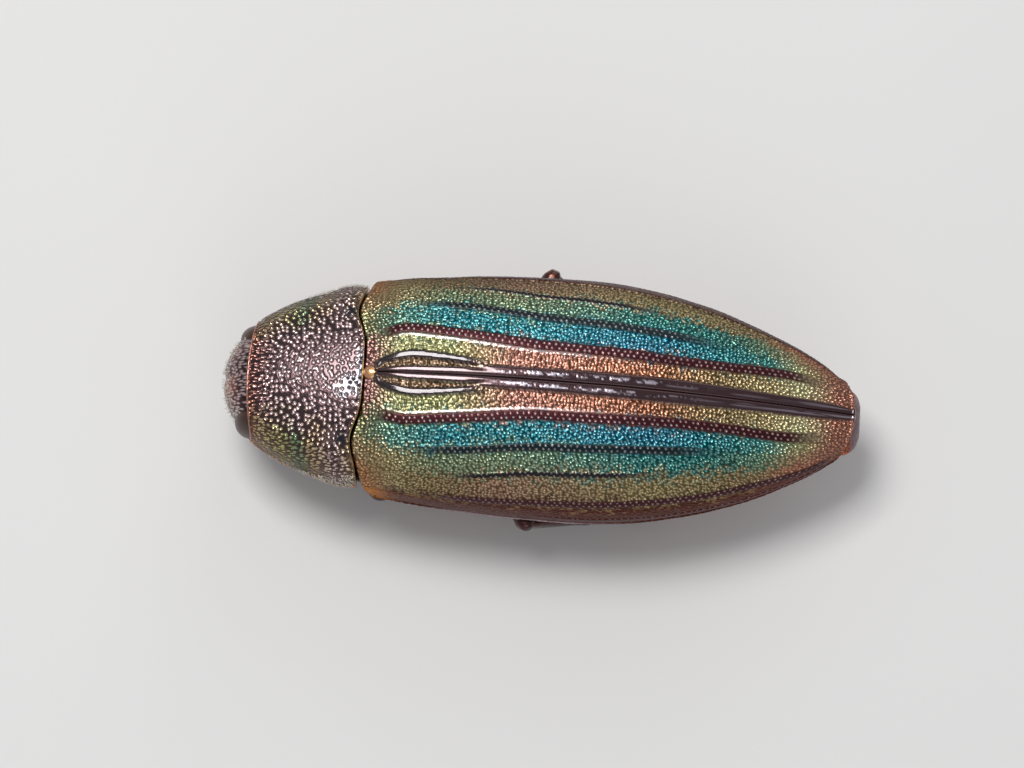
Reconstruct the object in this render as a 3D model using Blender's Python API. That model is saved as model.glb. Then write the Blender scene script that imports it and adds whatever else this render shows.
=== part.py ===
"""A life-size jewel beetle at rest: wing cases, thorax shield, bent-down head and six drawn-in legs.

+Z is up, the head points to -Y and the beetle's left is +X. The origin is under the middle of the body,
on the floor. Sizes are in millimetres and become metres where vertices are made.
"""

import math

import bmesh
import bpy
from mathutils import Vector

MM = 0.001
SIDES = {"left": 1, "right": -1}

# Driving dimensions
BODY_LENGTH = 17.0
HEAD_FRONT = -BODY_LENGTH / 2
BODY_END = BODY_LENGTH / 2
PRONOTUM_FRONT = HEAD_FRONT + 0.60
PRONOTUM_BASE = -4.80
ELYTRA_BASE = -4.74
ELYTRA_TIP = BODY_END - 0.16
SEAM = 0.06  # the thin gap between two plates that meet
# On each side the wing cases' base bows forward into the shield's hind edge
BOW_AT = 1.80
BOW_SPREAD = 0.60
CASE_BOW = 0.18
SHIELD_BOW = 0.30

# Wing cases
HALF_WIDTH = 3.28
SHOULDER_HALF_WIDTH = 2.88
TIP_HALF_WIDTH = 0.70
WIDEST_AT = 0.42
SHOULDER_POWER = 1.7  # how quickly the shoulders widen to the full width
TAPER_POWER = 0.86  # how full the rear half is
SHOULDER_START = 0.45  # where the front corner's rounding starts, from suture to side margin
SHOULDER_ROUND = 0.60
TIP_ROUND = 0.42
TIP_POWER = 2.2
SHELL_THICKNESS = 0.50
TIP_THICKNESS = 0.24
THINNER_FROM = 0.8
ARCH_POWER = 2.3  # of the superellipse across the back: 2 is an ellipse
BASE_ARCH_POWER = 1.75  # at the wing cases' base
BASE_ARCH_END = 0.10
SUTURE_HEIGHT = [
    (0, 4.70), (0.07, 4.98), (0.27, 5.15), (0.5, 4.98), (0.7, 4.50), (0.85, 3.96), (0.95, 3.55), (1, 3.32),
]
MARGIN_HEIGHT = [(0, 3.02), (0.12, 2.80), (0.5, 2.70), (0.8, 2.58), (1, 2.68)]

# Thorax shield
PRONOTUM_HALF_WIDTH = [(0, 1.58), (0.12, 1.83), (0.35, 2.20), (0.65, 2.54), (0.88, 2.70), (1, 2.70)]
PRONOTUM_TOP = [(0, 4.00), (0.2, 4.27), (0.6, 4.56), (0.85, 4.69), (1, 4.76)]
PRONOTUM_SIDE = [(0, 2.72), (1, 2.90)]
FRONT_BOW = 0.17  # how far the middle of its front edge reaches past the front corners
CHIN_SETBACK = 0.45  # how far behind the shield's front edge the breast begins
SHIELD_POWER = 2.25  # of the superellipse across the thorax
SHARED_FACE = 0.9  # how wide the flat face between shield and breast is, against the thorax

# Underside
BELLY_HEIGHT = [
    (-7.8, 1.50), (-7.0, 1.08), (-5.6, 0.84), (-2.5, 0.74), (0.5, 0.84), (3.5, 1.14), (6.3, 1.62), (8.5, 2.22),
]
LEDGE = 0.14  # how far the wing cases stand out past the underside
NECK_DRAWN_IN = 0.24  # how much narrower the hind thorax is where it begins
NECK_LENGTH = 0.70
ROOM_UNDER_CASES = (0.10, 0.14)  # between the wing cases and the body, at their base and tip
THORAX_END = -0.42
ABDOMEN_JOINTS = [THORAX_END, 1.85, 3.70, 5.30, 6.70, 7.86]
# Of the tail plate: y, half width, and the heights of its underside and top
TAIL_SHAPE = (
    (ABDOMEN_JOINTS[-1], 0.98, 2.05, 2.86),
    (8.10, 0.90, 2.10, 2.81),
    (8.30, 0.80, 2.18, 2.74),
    (8.43, 0.64, 2.30, 2.66),
    (BODY_END, 0.40, 2.42, 2.56),
)
BELLY_POWER = 1.9

# Head
HEAD_CENTRE = Vector((0, HEAD_FRONT + 1.08, 2.72))
HEAD_RADII = Vector((1.42, 1.08, 1.36))
MOUTH_NARROWING = 0.34
MOUTH_POWER = 1.6  # how late the narrowing comes, on the way down
EYE_CENTRE = Vector((1.16, -7.74, 2.86))
EYE_RADII = Vector((0.34, 0.40, 0.72))
EYE_TURN = math.radians(24)  # its front edge turned outwards
EYE_LEAN = math.radians(10)  # its top leaned inwards

# Legs, each as its hip, knee, ankle and toe on the left side
LEGS = {
    "fore": ((0.75, -5.45, 1.00), (1.75, -6.30, 1.50), (1.22, -7.00, 0.50), (0.55, -7.68, 0)),
    "mid": ((1.00, -3.72, 0.90), (2.62, -4.20, 1.80), (2.15, -3.70, 0.50), (1.75, -2.15, 0)),
    "hind": ((0.86, -1.02, 0.88), (3.31, -0.22, 2.36), (2.62, 1.60, 0.50), (2.16, 3.50, 0)),
}
KNEES_SPREAD = {"right_hind": (3.50, 0.10, 2.44)}  # a knee further out than its pair's other one
HIP_RADII = {"fore": (0.42, 0.42, 0.36), "mid": (0.42, 0.42, 0.34), "hind": (0.72, 0.42, 0.32)}
THIGH_RADII = ((0, 0.26), (0.2, 0.37), (0.45, 0.41), (0.75, 0.34), (1, 0.27))
SHIN_RADII = ((0, 0.25), (0.5, 0.25), (1, 0.26))
SHIN_TOP = 0.14  # where the shin leaves the thigh, as a share of the way from knee to ankle
FOOT_START = 0.38  # past the ankle
PAD_ENDS = (0.28, 0.46, 0.62, 0.76, 1)  # of the foot's five parts, as shares of its length
PAD_HALF_WIDTH = 0.26
PAD_HEIGHT = 0.40
PAD_SECTION = ((1, 0), (1, 0.45), (0.62, 0.9))  # across and up, from the sole's edge
# Each part of the foot near its root and near its end: how far along it, its width and its height
PAD_ROOT = (0.06, 0.66, 0.74)
PAD_END = (0.82, 1.00, 0.94)
LAST_PAD_WIDTH = 0.72
CLAW_REACH = 0.28
CLAW_SPREAD = 0.20
CLAW_HEIGHTS = (0.19, 0.14)  # at its root and tip
CLAW_RADII = (0.16, 0.11)
CLAW_SETBACK = 0.12  # how far behind the toe the claws meet

# Feelers and mouth
FEELER_ROUTE = [
    (0.50, -8.16, 1.95), (0.62, -8.16, 1.34), (0.66, -8.00, 0.90), (0.84, -7.68, 0.84), (1.05, -7.25, 1.00),
]
FEELER_PARTS = 11
FEELER_RADIUS = 0.24
FEELER_TAPER = 0.18
BAR_END = (0.8, 0.6)  # a bar's rounded end: how far past the bar it reaches and how thick it is, in radii
LIP_CENTRE = (0, -7.98, 1.44)
LIP_RADII = (0.40, 0.26, 0.26)
JAW_CENTRE = (0.27, -7.66, 1.26)
JAW_RADII = (0.25, 0.30, 0.34)

# Scutellum, the small shield between the wing cases
SCUTELLUM_CENTRE = (0, -4.52, 4.60)
SCUTELLUM_RADII = (0.25, 0.27, 0.26)

MATERIALS = {
    "wing_case": ((0.06, 0.34, 0.34), 0.32, 1.0),
    "bronze": ((0.30, 0.16, 0.11), 0.30, 1.0),
    "underside": ((0.36, 0.17, 0.10), 0.30, 1.0),
    "tail": ((0.45, 0.47, 0.52), 0.35, 0.4),
    "leg": ((0.17, 0.09, 0.06), 0.28, 1.0),
    "feeler": ((0.06, 0.04, 0.035), 0.35, 0.6),
    "eye": ((0.10, 0.075, 0.06), 0.25, 0.0),
}


def clear_scene():
    for obj in list(bpy.data.objects):
        bpy.data.objects.remove(obj)


def new_collection(name):
    made = bpy.data.collections.new(name)
    bpy.context.scene.collection.children.link(made)
    return made


def material(name):
    """The named finish as a Principled material, made once."""
    found = bpy.data.materials.get(name)
    if found:
        return found
    colour, roughness, metallic = MATERIALS[name]
    made = bpy.data.materials.new(name)
    made.use_nodes = True
    shader = made.node_tree.nodes["Principled BSDF"]
    shader.inputs["Base Color"].default_value = (*colour, 1)
    shader.inputs["Roughness"].default_value = roughness
    shader.inputs["Metallic"].default_value = metallic
    return made


def smooth(stations, at):
    """A smooth curve through a few (place, value) stations, read at one place, with no overshoot."""
    places = [p for p, _ in stations]
    values = [v for _, v in stations]
    at = min(max(at, places[0]), places[-1])
    i = max(k for k in range(len(places) - 1) if places[k] <= at)
    slopes = [(values[k + 1] - values[k]) / (places[k + 1] - places[k]) for k in range(len(places) - 1)]

    def tangent(k):
        if k in (0, len(slopes)):
            return slopes[min(k, len(slopes) - 1)]
        before, after = slopes[k - 1], slopes[k]
        return 0 if before * after <= 0 else 2 * before * after / (before + after)

    span = places[i + 1] - places[i]
    t = (at - places[i]) / span
    return (
        values[i] * (1 + 2 * t) * (1 - t) ** 2
        + tangent(i) * span * t * (1 - t) ** 2
        + values[i + 1] * t * t * (3 - 2 * t)
        + tangent(i + 1) * span * t * t * (t - 1)
    )


def mesh_object(name, bm, finish, collection):
    bmesh.ops.recalc_face_normals(bm, faces=bm.faces)
    mesh = bpy.data.meshes.new(name)
    bm.to_mesh(mesh)
    bm.free()
    mesh.shade_smooth()
    mesh.set_sharp_from_angle(angle=math.radians(40))
    made = bpy.data.objects.new(name, mesh)
    made.data.materials.append(material(finish))
    collection.objects.link(made)
    return made


def loft(name, rings, finish, collection):
    """A closed body through rings of points, each ring with the same number of points."""
    bm = bmesh.new()
    rows = [[bm.verts.new(Vector(p) * MM) for p in ring] for ring in rings]
    count = len(rows[0])
    for row, after in zip(rows, rows[1:]):
        for i in range(count):
            j = (i + 1) % count
            bm.faces.new((row[i], row[j], after[j], after[i]))
    for row in (rows[0], rows[-1]):
        middle = bm.verts.new(sum((v.co for v in row), Vector()) / count)
        for i in range(count):
            bm.faces.new((row[i], row[(i + 1) % count], middle))
    return mesh_object(name, bm, finish, collection)


def ball(name, centre, radii, finish, collection, segments=8, turn=0.0, lean=0.0):
    bm = bmesh.new()
    bmesh.ops.create_uvsphere(bm, u_segments=segments, v_segments=segments // 2 + 1, radius=1)
    for v in bm.verts:
        v.co = Vector(a * r for a, r in zip(v.co, radii)) * MM
    made = mesh_object(name, bm, finish, collection)
    made.location = Vector(centre) * MM
    made.rotation_euler = (0, lean, turn)
    return made


def cut(target, cutter, operation="DIFFERENCE"):
    """Takes the cutter's shape out of the target, or with UNION adds it."""
    cutter.hide_render = True
    cutter.display_type = "WIRE"
    modifier = target.modifiers.new(cutter.name, "BOOLEAN")
    modifier.operation = operation
    modifier.solver = "EXACT"
    modifier.object = cutter


def superellipse(angle, power):
    """(across, up) of a quarter superellipse: angle 0 is its top, a right angle its side."""
    return math.sin(angle) ** (2 / power), max(math.cos(angle), 0) ** (2 / power)


# Wing cases


def share_along(y):
    """How far y is along the wing cases, from 0 at their base to 1 at their tip."""
    return min(max((y - ELYTRA_BASE) / (ELYTRA_TIP - ELYTRA_BASE), 0), 1)


def back_half_width(y):
    s = share_along(y)
    if s < WIDEST_AT:
        return HALF_WIDTH - (HALF_WIDTH - SHOULDER_HALF_WIDTH) * (1 - s / WIDEST_AT) ** SHOULDER_POWER
    taper = ((s - WIDEST_AT) / (1 - WIDEST_AT)) ** 2
    return TIP_HALF_WIDTH + (HALF_WIDTH - TIP_HALF_WIDTH) * (1 - taper) ** TAPER_POWER


def bow(x):
    """How far the joint between shield and wing cases bows forward, as a share of its most."""
    return math.exp(-(((abs(x) - BOW_AT) / BOW_SPREAD) ** 2))


def arch_power(s):
    """The wing cases are less boxy across at their base."""
    share = min(s / BASE_ARCH_END, 1)
    return BASE_ARCH_POWER + (ARCH_POWER - BASE_ARCH_POWER) * share * share * (3 - 2 * share)


def case_ends(t):
    """Where the wing case begins and ends in y, from t = 0 at the suture to 1 at the side margin."""
    corner = max(0, (t - SHOULDER_START) / (1 - SHOULDER_START))
    across, _ = superellipse(t * math.pi / 2, BASE_ARCH_POWER)
    base = ELYTRA_BASE - CASE_BOW * bow(SHOULDER_HALF_WIDTH * across)
    base += SHOULDER_ROUND * (1 - math.sqrt(1 - corner * corner))
    return base, ELYTRA_TIP - TIP_ROUND * t**TIP_POWER


def back_point(s, t):
    """The outer surface of a wing case: s runs from base to tip, t from the suture to the side margin."""
    base, tip = case_ends(t)
    y = base + s * (tip - base)
    across, up = superellipse(t * math.pi / 2, arch_power(s))
    low = smooth(MARGIN_HEIGHT, share_along(y))
    high = smooth(SUTURE_HEIGHT, share_along(y))
    return Vector((back_half_width(y) * across, y, low + (high - low) * up))


def back_normal(s, t):
    step = 0.004
    along = back_point(min(s + step, 1), t) - back_point(max(s - step, 0), t)
    t = min(max(t, step), 1 - step)
    across = back_point(s, t + step) - back_point(s, t - step)
    return across.cross(along).normalized()


def under_back(s, t, depth):
    """A point that deep under the back's outer surface, kept on its own side of the suture."""
    p = back_point(s, t) - back_normal(s, t) * depth
    p.x = max(p.x, 0)
    return p


def wing_case(side, collection):
    """One wing case: a thick curved shell from the suture to the side margin."""
    along, across = 18, 8
    sign = SIDES[side]
    bm = bmesh.new()

    def skin(depth_of):
        rows = []
        for i in range(along + 1):
            s = i / along
            row = []
            for k in range(across + 1):
                p = under_back(s, k / across, depth_of(s))
                row.append(bm.verts.new(Vector((sign * (p.x + SEAM / 2), p.y, p.z)) * MM))
            rows.append(row)
        for i in range(along):
            for k in range(across):
                bm.faces.new((rows[i][k], rows[i][k + 1], rows[i + 1][k + 1], rows[i + 1][k]))
        return rows

    outer = skin(lambda s: 0)
    inner = skin(shell_thickness)
    rims = [(outer[0], inner[0]), (outer[-1], inner[-1])]
    for end in (0, -1):
        rims.append(([row[end] for row in outer], [row[end] for row in inner]))
    for a, b in rims:
        for i in range(len(a) - 1):
            bm.faces.new((a[i], a[i + 1], b[i + 1], b[i]))
    return mesh_object(f"{side}_elytron", bm, "wing_case", collection)


def shell_thickness(s):
    thin = max(0, (s - THINNER_FROM) / (1 - THINNER_FROM))
    return SHELL_THICKNESS - (SHELL_THICKNESS - TIP_THICKNESS) * thin


# Underside


def trunk_ring(y, belly_points=6, back_points=6):
    """A section of the body under the wing cases: belly, a ledge under the case's edge, and the top."""
    s = share_along(y)
    neck = max(0, 1 - (y - ELYTRA_BASE) / NECK_LENGTH)
    width = back_half_width(y) - LEDGE - NECK_DRAWN_IN * neck
    side = smooth(MARGIN_HEIGHT, s) - SEAM
    belly = smooth(BELLY_HEIGHT, y)
    half = []
    for i in range(belly_points + 1):
        across, down = superellipse(i / belly_points * math.pi / 2, BELLY_POWER)
        half.append((width * across, side - (side - belly) * down))
    room = ROOM_UNDER_CASES[0] + (ROOM_UNDER_CASES[1] - ROOM_UNDER_CASES[0]) * s
    deep = shell_thickness(s) + room
    for i in range(back_points + 1):
        t = 1 - i / back_points
        base, tip = case_ends(t)
        p = under_back(min(max((y - base) / (tip - base), 0), 1), t, deep)
        half.append((max(min(p.x, width - 0.02), 0), max(p.z, side + 0.001 * (i + 1))))
    right = [(-x, z) for x, z in half[-2:0:-1]]
    return [(x, y, z) for x, z in half + right]


def tail_ring(y, width, low, high, points=16):
    middle, reach = (low + high) / 2, (high - low) / 2
    turns = [2 * math.pi * i / points for i in range(points)]
    return [(width * math.sin(turn), y, middle + reach * math.cos(turn)) for turn in turns]


def trunk_block(name, start, end, finish, collection, steps):
    rings = [trunk_ring(start + (end - start) * i / steps) for i in range(steps + 1)]
    return loft(name, rings, finish, collection)


# Thorax shield


def thorax_y(share, across, top):
    """The thorax's front edge bows forward in the middle, and the shield's hind edge on each side."""
    front = PRONOTUM_FRONT + FRONT_BOW * across**2
    base = PRONOTUM_BASE
    if top:
        base -= SHIELD_BOW * bow(PRONOTUM_HALF_WIDTH[-1][1] * across)
    return front + share * (base - front)


def prothorax_ring(share, top):
    """One half of the prothorax, above or below its side edge."""
    width = smooth(PRONOTUM_HALF_WIDTH, share)
    side = smooth(PRONOTUM_SIDE, share)
    points = 8
    ring = []
    for i in range(-points, points + 1):
        across, reach = superellipse(abs(i) / points * math.pi / 2, SHIELD_POWER)
        sign = 1 if i > 0 else -1
        y = thorax_y(share, across, top)
        if top:
            z = side + (smooth(PRONOTUM_TOP, share) - side) * reach
            x = width * across
        else:
            z = side - SEAM - (side - SEAM - smooth(BELLY_HEIGHT, y)) * reach
            x = (width - LEDGE) * across
            y += CHIN_SETBACK * (1 - share) * reach
        ring.append((sign * x, y, z))
    edge = 0 if top else -SEAM
    inner = [i / 3 for i in range(2, -3, -1)]
    for k in inner:
        across = k * SHARED_FACE
        ring.append(((width - LEDGE) * across, thorax_y(share, abs(across), top), side + edge))
    return ring


def prothorax(collection, head_cutter):
    shares = [0, 0.1, 0.3, 0.5, 0.7, 0.9, 1]
    shield = loft("pronotum", [prothorax_ring(s, True) for s in shares], "bronze", collection)
    breast = loft("prosternum", [prothorax_ring(s, False) for s in shares], "underside", collection)
    for piece in (shield, breast):
        cut(piece, head_cutter)
    return shield, breast


# Head


def head_shape(grow=0.0):
    """The head capsule: a ball with its mouth end drawn in."""
    bm = bmesh.new()
    bmesh.ops.create_uvsphere(bm, u_segments=16, v_segments=10, radius=1)
    for v in bm.verts:
        x, y, z = v.co
        narrow = 1 - MOUTH_NARROWING * max(0, -z) ** MOUTH_POWER
        radii = HEAD_RADII + Vector((grow, grow, grow))
        v.co = (HEAD_CENTRE + Vector((x * radii.x * narrow, y * radii.y, z * radii.z))) * MM
    return bm


def head(prothorax_parts, collection, cutters):
    capsule = mesh_object("head", head_shape(), "bronze", collection)
    for side, sign in SIDES.items():
        centre = Vector((sign * EYE_CENTRE.x, EYE_CENTRE.y, EYE_CENTRE.z))
        place = {"turn": -sign * EYE_TURN, "lean": -sign * EYE_LEAN}
        grown = EYE_RADII + Vector((SEAM, SEAM, SEAM))
        socket = ball(f"{side}_eye_socket", centre, grown, "bronze", cutters, 12, **place)
        for piece in (capsule, *prothorax_parts):
            cut(piece, socket)
        ball(f"{side}_eye", centre, EYE_RADII, "eye", collection, 12, **place)
    return capsule


def mouth(collection, cutters, head_cutter):
    lip = ball("labrum", LIP_CENTRE, LIP_RADII, "bronze", collection)
    cut(lip, head_cutter)
    lip_space = ball("labrum_space", LIP_CENTRE, [r + SEAM for r in LIP_RADII], "bronze", cutters)
    for side, sign in SIDES.items():
        x, y, z = JAW_CENTRE
        jaw = ball(f"{side}_mandible", (sign * x, y, z), JAW_RADII, "feeler", collection)
        cut(jaw, head_cutter)
        cut(jaw, lip_space)


# Legs and feelers


def tube(name, points, radii, finish, collection, grow=0.0, roundness=2):
    """A round bar along points, its ends rounded."""
    points = [Vector(p) for p in points]
    far, thin = BAR_END
    start = points[0] + (points[0] - points[1]).normalized() * radii[0] * far
    end = points[-1] + (points[-1] - points[-2]).normalized() * radii[-1] * far
    route = [(start, radii[0] * thin), *zip(points, radii), (end, radii[-1] * thin)]
    data = bpy.data.curves.new(name, "CURVE")
    data.dimensions = "3D"
    data.bevel_depth = MM
    data.bevel_resolution = roundness
    data.use_fill_caps = True
    spline = data.splines.new("POLY")
    spline.points.add(len(route) - 1)
    for slot, (place, radius) in zip(spline.points, route):
        slot.co = (*(place * MM), 1)
        slot.radius = radius + grow
    drawn = bpy.data.objects.new(name, data)
    bpy.context.scene.collection.objects.link(drawn)
    mesh = bpy.data.meshes.new_from_object(drawn.evaluated_get(bpy.context.evaluated_depsgraph_get()))
    bpy.data.objects.remove(drawn)
    bm = bmesh.new()
    bm.from_mesh(mesh)
    bpy.data.meshes.remove(mesh)
    bmesh.ops.remove_doubles(bm, verts=bm.verts, dist=1e-7)
    return mesh_object(name, bm, finish, collection)


def limb(name, start, end, radii, finish, collection, grow=0.0):
    """A straight leg part whose radius follows a few (share, radius) stations."""
    start, end = Vector(start), Vector(end)
    shares = [i / 4 for i in range(5)]
    points = [start.lerp(end, share) for share in shares]
    return tube(name, points, [smooth(radii, share) for share in shares], finish, collection, grow)


def foot(name, ankle, toe, collection, cutters):
    """Five flat-soled pads in a row, with two claws at the end."""
    ankle, toe = Vector((ankle[0], ankle[1], 0)), Vector(toe)
    ahead = (toe - ankle).normalized()
    across = ahead.cross(Vector((0, 0, 1)))
    start = ankle + ahead * FOOT_START
    rings = []
    begin = 0
    for finish_at in PAD_ENDS:
        for step, width, height in (PAD_ROOT, PAD_END):
            if finish_at == 1:
                width = min(width, LAST_PAD_WIDTH)
            middle = start.lerp(toe, begin + (finish_at - begin) * step)
            w, h = PAD_HALF_WIDTH * width, PAD_HEIGHT * height
            half = [(w * x, h * z) for x, z in PAD_SECTION]
            outline = half + [(0, h)] + [(-x, z) for x, z in reversed(half)]
            rings.append([middle + across * x + Vector((0, 0, z)) for x, z in outline])
        begin = finish_at
    made = loft(name, rings, "leg", collection)
    root_height, tip_height = CLAW_HEIGHTS
    root_radius, tip_radius = CLAW_RADII
    root = toe - ahead * CLAW_SETBACK + Vector((0, 0, root_height))
    reach = toe + ahead * CLAW_REACH + Vector((0, 0, tip_height))
    route = (reach - across * CLAW_SPREAD, root, reach + across * CLAW_SPREAD)
    claws = tube(f"{name}_claws", route, (tip_radius, root_radius, tip_radius), "leg", cutters, roundness=1)
    cut(made, claws, "UNION")
    return made


def leg(pair, side, trunk, collection, cutters):
    """One leg, with room for it taken out of the parts of the trunk it lies against."""
    sign = SIDES[side]
    name = f"{side}_{pair}"
    hip, knee, ankle, toe = LEGS[pair]
    places = (hip, KNEES_SPREAD.get(name, knee), ankle, toe)
    hip, knee, ankle, toe = ((sign * x, y, z) for x, y, z in places)
    ball(f"{name}_coxa", hip, HIP_RADII[pair], "leg", collection)
    hip_space = ball(f"{name}_hip_space", hip, [r + SEAM for r in HIP_RADII[pair]], "leg", cutters)
    thigh = limb(f"{name}_femur", hip, knee, THIGH_RADII, "leg", collection)
    thigh_space = limb(f"{name}_thigh_space", hip, knee, THIGH_RADII, "leg", cutters, SEAM)
    shin_top = Vector(knee).lerp(Vector(ankle), SHIN_TOP)
    shin = limb(f"{name}_tibia", shin_top, ankle, SHIN_RADII, "leg", collection)
    shin_space = limb(f"{name}_shin_space", shin_top, ankle, SHIN_RADII, "leg", cutters, SEAM)
    foot(f"{name}_tarsus", ankle, toe, collection, cutters)
    for block in trunk:
        cut(block, thigh_space)
    cut(trunk[0], hip_space)
    cut(trunk[0], shin_space)
    cut(thigh, hip_space)
    cut(shin, thigh_space)


def feeler(side, collection, head_cutter):
    """A feeler of short parts, each wider towards its end."""
    sign = SIDES[side]
    route = [Vector((sign * x, y, z)) for x, y, z in FEELER_ROUTE]
    lengths = [(b - a).length for a, b in zip(route, route[1:])]
    marks = [sum(lengths[:i]) / sum(lengths) for i in range(len(route))]
    stations = [[(mark, p[axis]) for mark, p in zip(marks, route)] for axis in range(3)]
    points, radii = [], []
    for i in range(FEELER_PARTS):
        for step, width in ((0.1, 0.72), (0.85, 1)):
            share = (i + step) / FEELER_PARTS
            points.append([smooth(axis, share) for axis in stations])
            radii.append(FEELER_RADIUS * width * (1 - FEELER_TAPER * share))
    made = tube(f"{side}_antenna", points, radii, "feeler", collection, roundness=1)
    cut(made, head_cutter)


def main():
    clear_scene()
    beetle = new_collection("jewel_beetle")
    cutters = new_collection("cutters")
    cases = [wing_case(side, beetle) for side in SIDES]
    chest = trunk_block("metathorax", ELYTRA_BASE, THORAX_END - SEAM, "underside", beetle, 6)
    belly = []
    for i, (start, end) in enumerate(zip(ABDOMEN_JOINTS, ABDOMEN_JOINTS[1:]), 1):
        belly.append(trunk_block(f"abdomen_{i}", start, end - SEAM, "underside", beetle, 2))
    loft("pygidium", [tail_ring(*station) for station in TAIL_SHAPE], "tail", beetle)
    ball("scutellum", SCUTELLUM_CENTRE, SCUTELLUM_RADII, "bronze", beetle)
    grown = [r + SEAM for r in SCUTELLUM_RADII]
    shield_space = ball("scutellum_space", SCUTELLUM_CENTRE, grown, "bronze", cutters)
    head_cutter = mesh_object("head_space", head_shape(SEAM), "bronze", cutters)
    shield, breast = prothorax(beetle, head_cutter)
    for piece in (*cases, chest, shield):
        cut(piece, shield_space)
    head((shield, breast), beetle, cutters)
    mouth(beetle, cutters, head_cutter)
    for side in SIDES:
        feeler(side, beetle, head_cutter)
        leg("fore", side, [breast], beetle, cutters)
        leg("mid", side, [chest], beetle, cutters)
        leg("hind", side, [chest, belly[0]], beetle, cutters)


main()
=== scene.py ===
"""The looks of a life-size jewel beetle: ribbed and pitted wing cases, a pitted shield, and fine hairs.

Lengths are in millimetres until a mesh is made. The beetle's head points to -Y and its left is +X.
"""

import math

import bpy
import numpy as np
from mathutils import Matrix, Vector


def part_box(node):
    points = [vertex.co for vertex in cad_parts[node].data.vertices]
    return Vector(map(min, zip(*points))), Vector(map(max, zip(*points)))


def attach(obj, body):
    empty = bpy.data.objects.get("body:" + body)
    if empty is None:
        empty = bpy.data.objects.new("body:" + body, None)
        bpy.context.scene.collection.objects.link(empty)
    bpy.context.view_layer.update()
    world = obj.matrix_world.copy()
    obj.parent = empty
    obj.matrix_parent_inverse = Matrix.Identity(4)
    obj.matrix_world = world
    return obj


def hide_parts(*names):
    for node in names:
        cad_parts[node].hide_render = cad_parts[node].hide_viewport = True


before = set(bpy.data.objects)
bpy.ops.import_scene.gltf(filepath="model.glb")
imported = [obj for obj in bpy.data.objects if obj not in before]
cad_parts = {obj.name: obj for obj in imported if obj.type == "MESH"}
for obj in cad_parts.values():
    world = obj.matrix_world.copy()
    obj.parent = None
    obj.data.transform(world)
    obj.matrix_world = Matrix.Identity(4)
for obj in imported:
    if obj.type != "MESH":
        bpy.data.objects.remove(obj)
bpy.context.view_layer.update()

MM = 0.001
DETAIL = 1.0
SIDES = {"left": 1, "right": -1}
SIDE_SEEDS = {"left": 0, "right": 200}  # so that no pit or painted glint is mirrored


def node_box(node):
    """A CAD node's lowest and highest corners, in millimetres."""
    return (np.array(corner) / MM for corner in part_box(node))


# The body's outer form, which follows the CAD's

_, case_high = node_box("left_elytron")
shield_low, shield_high = node_box("pronotum")
ELYTRA_BASE, ELYTRA_TIP = -4.75, case_high[1]
BEAD_HEIGHT = 0.03  # of the bead round a wing case's side and tip
HALF_WIDTH = case_high[0] - BEAD_HEIGHT
SHOULDER_HALF_WIDTH = 2.88
TIP_HALF_WIDTH = 0.70
WIDEST_AT = 0.42
SHOULDER_POWER = 1.7  # how quickly the shoulders widen to the full width
TAPER_POWER = 0.86  # how full the rear half is
# The joint between shield and wing cases bows forward on both sides of the middle
BOW_AT = 1.80
BOW_SPREAD = 0.60
CASE_BOW = 0.22
SHIELD_BOW = 0.26
SHOULDER_START = 0.45  # where the front corner's rounding starts, from suture to side margin
SHOULDER_ROUND = 0.44
TIP_ROUND = 0.42
TIP_POWER = 2.2
ARCH_POWER = 2.3  # of the superellipse across the back: 2 is an ellipse
BASE_ARCH_POWER = 1.75  # at the wing cases' base
BASE_ARCH_END = 0.10
SUTURE_HEIGHT = [
    (0, 4.70), (0.07, 4.98), (0.27, 5.15), (0.5, 4.98), (0.7, 4.50), (0.85, 3.96), (0.95, 3.55), (1, 3.32)
]
MARGIN_HEIGHT = [(0, 3.02), (0.12, 2.80), (0.5, 2.70), (0.8, 2.58), (1, 2.68)]
BELLY_HEIGHT = [
    (-7.8, 1.50), (-7.0, 1.08), (-5.6, 0.84), (-2.5, 0.74), (0.5, 0.84), (3.5, 1.14), (6.3, 1.62), (8.5, 2.22)
]
BELLY_POWER = 1.9
BELLY_LEDGE = 0.15  # how far the wing cases stand out past the belly
BELLY_SEAM = 0.07  # and how far their margin is above it
MIDDLE_HEIGHT = 2.7  # of the body's middle line

PRONOTUM_FRONT, PRONOTUM_BASE = shield_low[1], shield_high[1]
PRONOTUM_HALF_WIDTH = [(0, 1.58), (0.12, 1.83), (0.35, 2.20), (0.65, 2.54), (0.88, 2.70), (1, 2.70)]
PRONOTUM_TOP = [(0, 4.00), (0.2, 4.27), (0.6, 4.56), (0.85, 4.69), (1, 4.76)]
PRONOTUM_SIDE = [(0, 2.72), (1, 2.90)]
FRONT_BOW = 0.17
SHIELD_POWER = 2.25
BREAST_LEDGE = 0.14  # how far the shield stands out past the breast
CHIN_SETBACK = 0.45  # how far behind the shield's front edge the breast begins
HIND_LIP = 0.045  # how far the shield's hind edge is drawn out backwards
# Before the hind corners, in the middle at the back, and near the sides: from the middle, y, radius and depth
SHIELD_HOLLOWS = ((1.80, -5.32, 0.36, 0.14), (0, -4.95, 0.35, 0.05), (2.3, -5.9, 0.35, 0.05))

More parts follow.
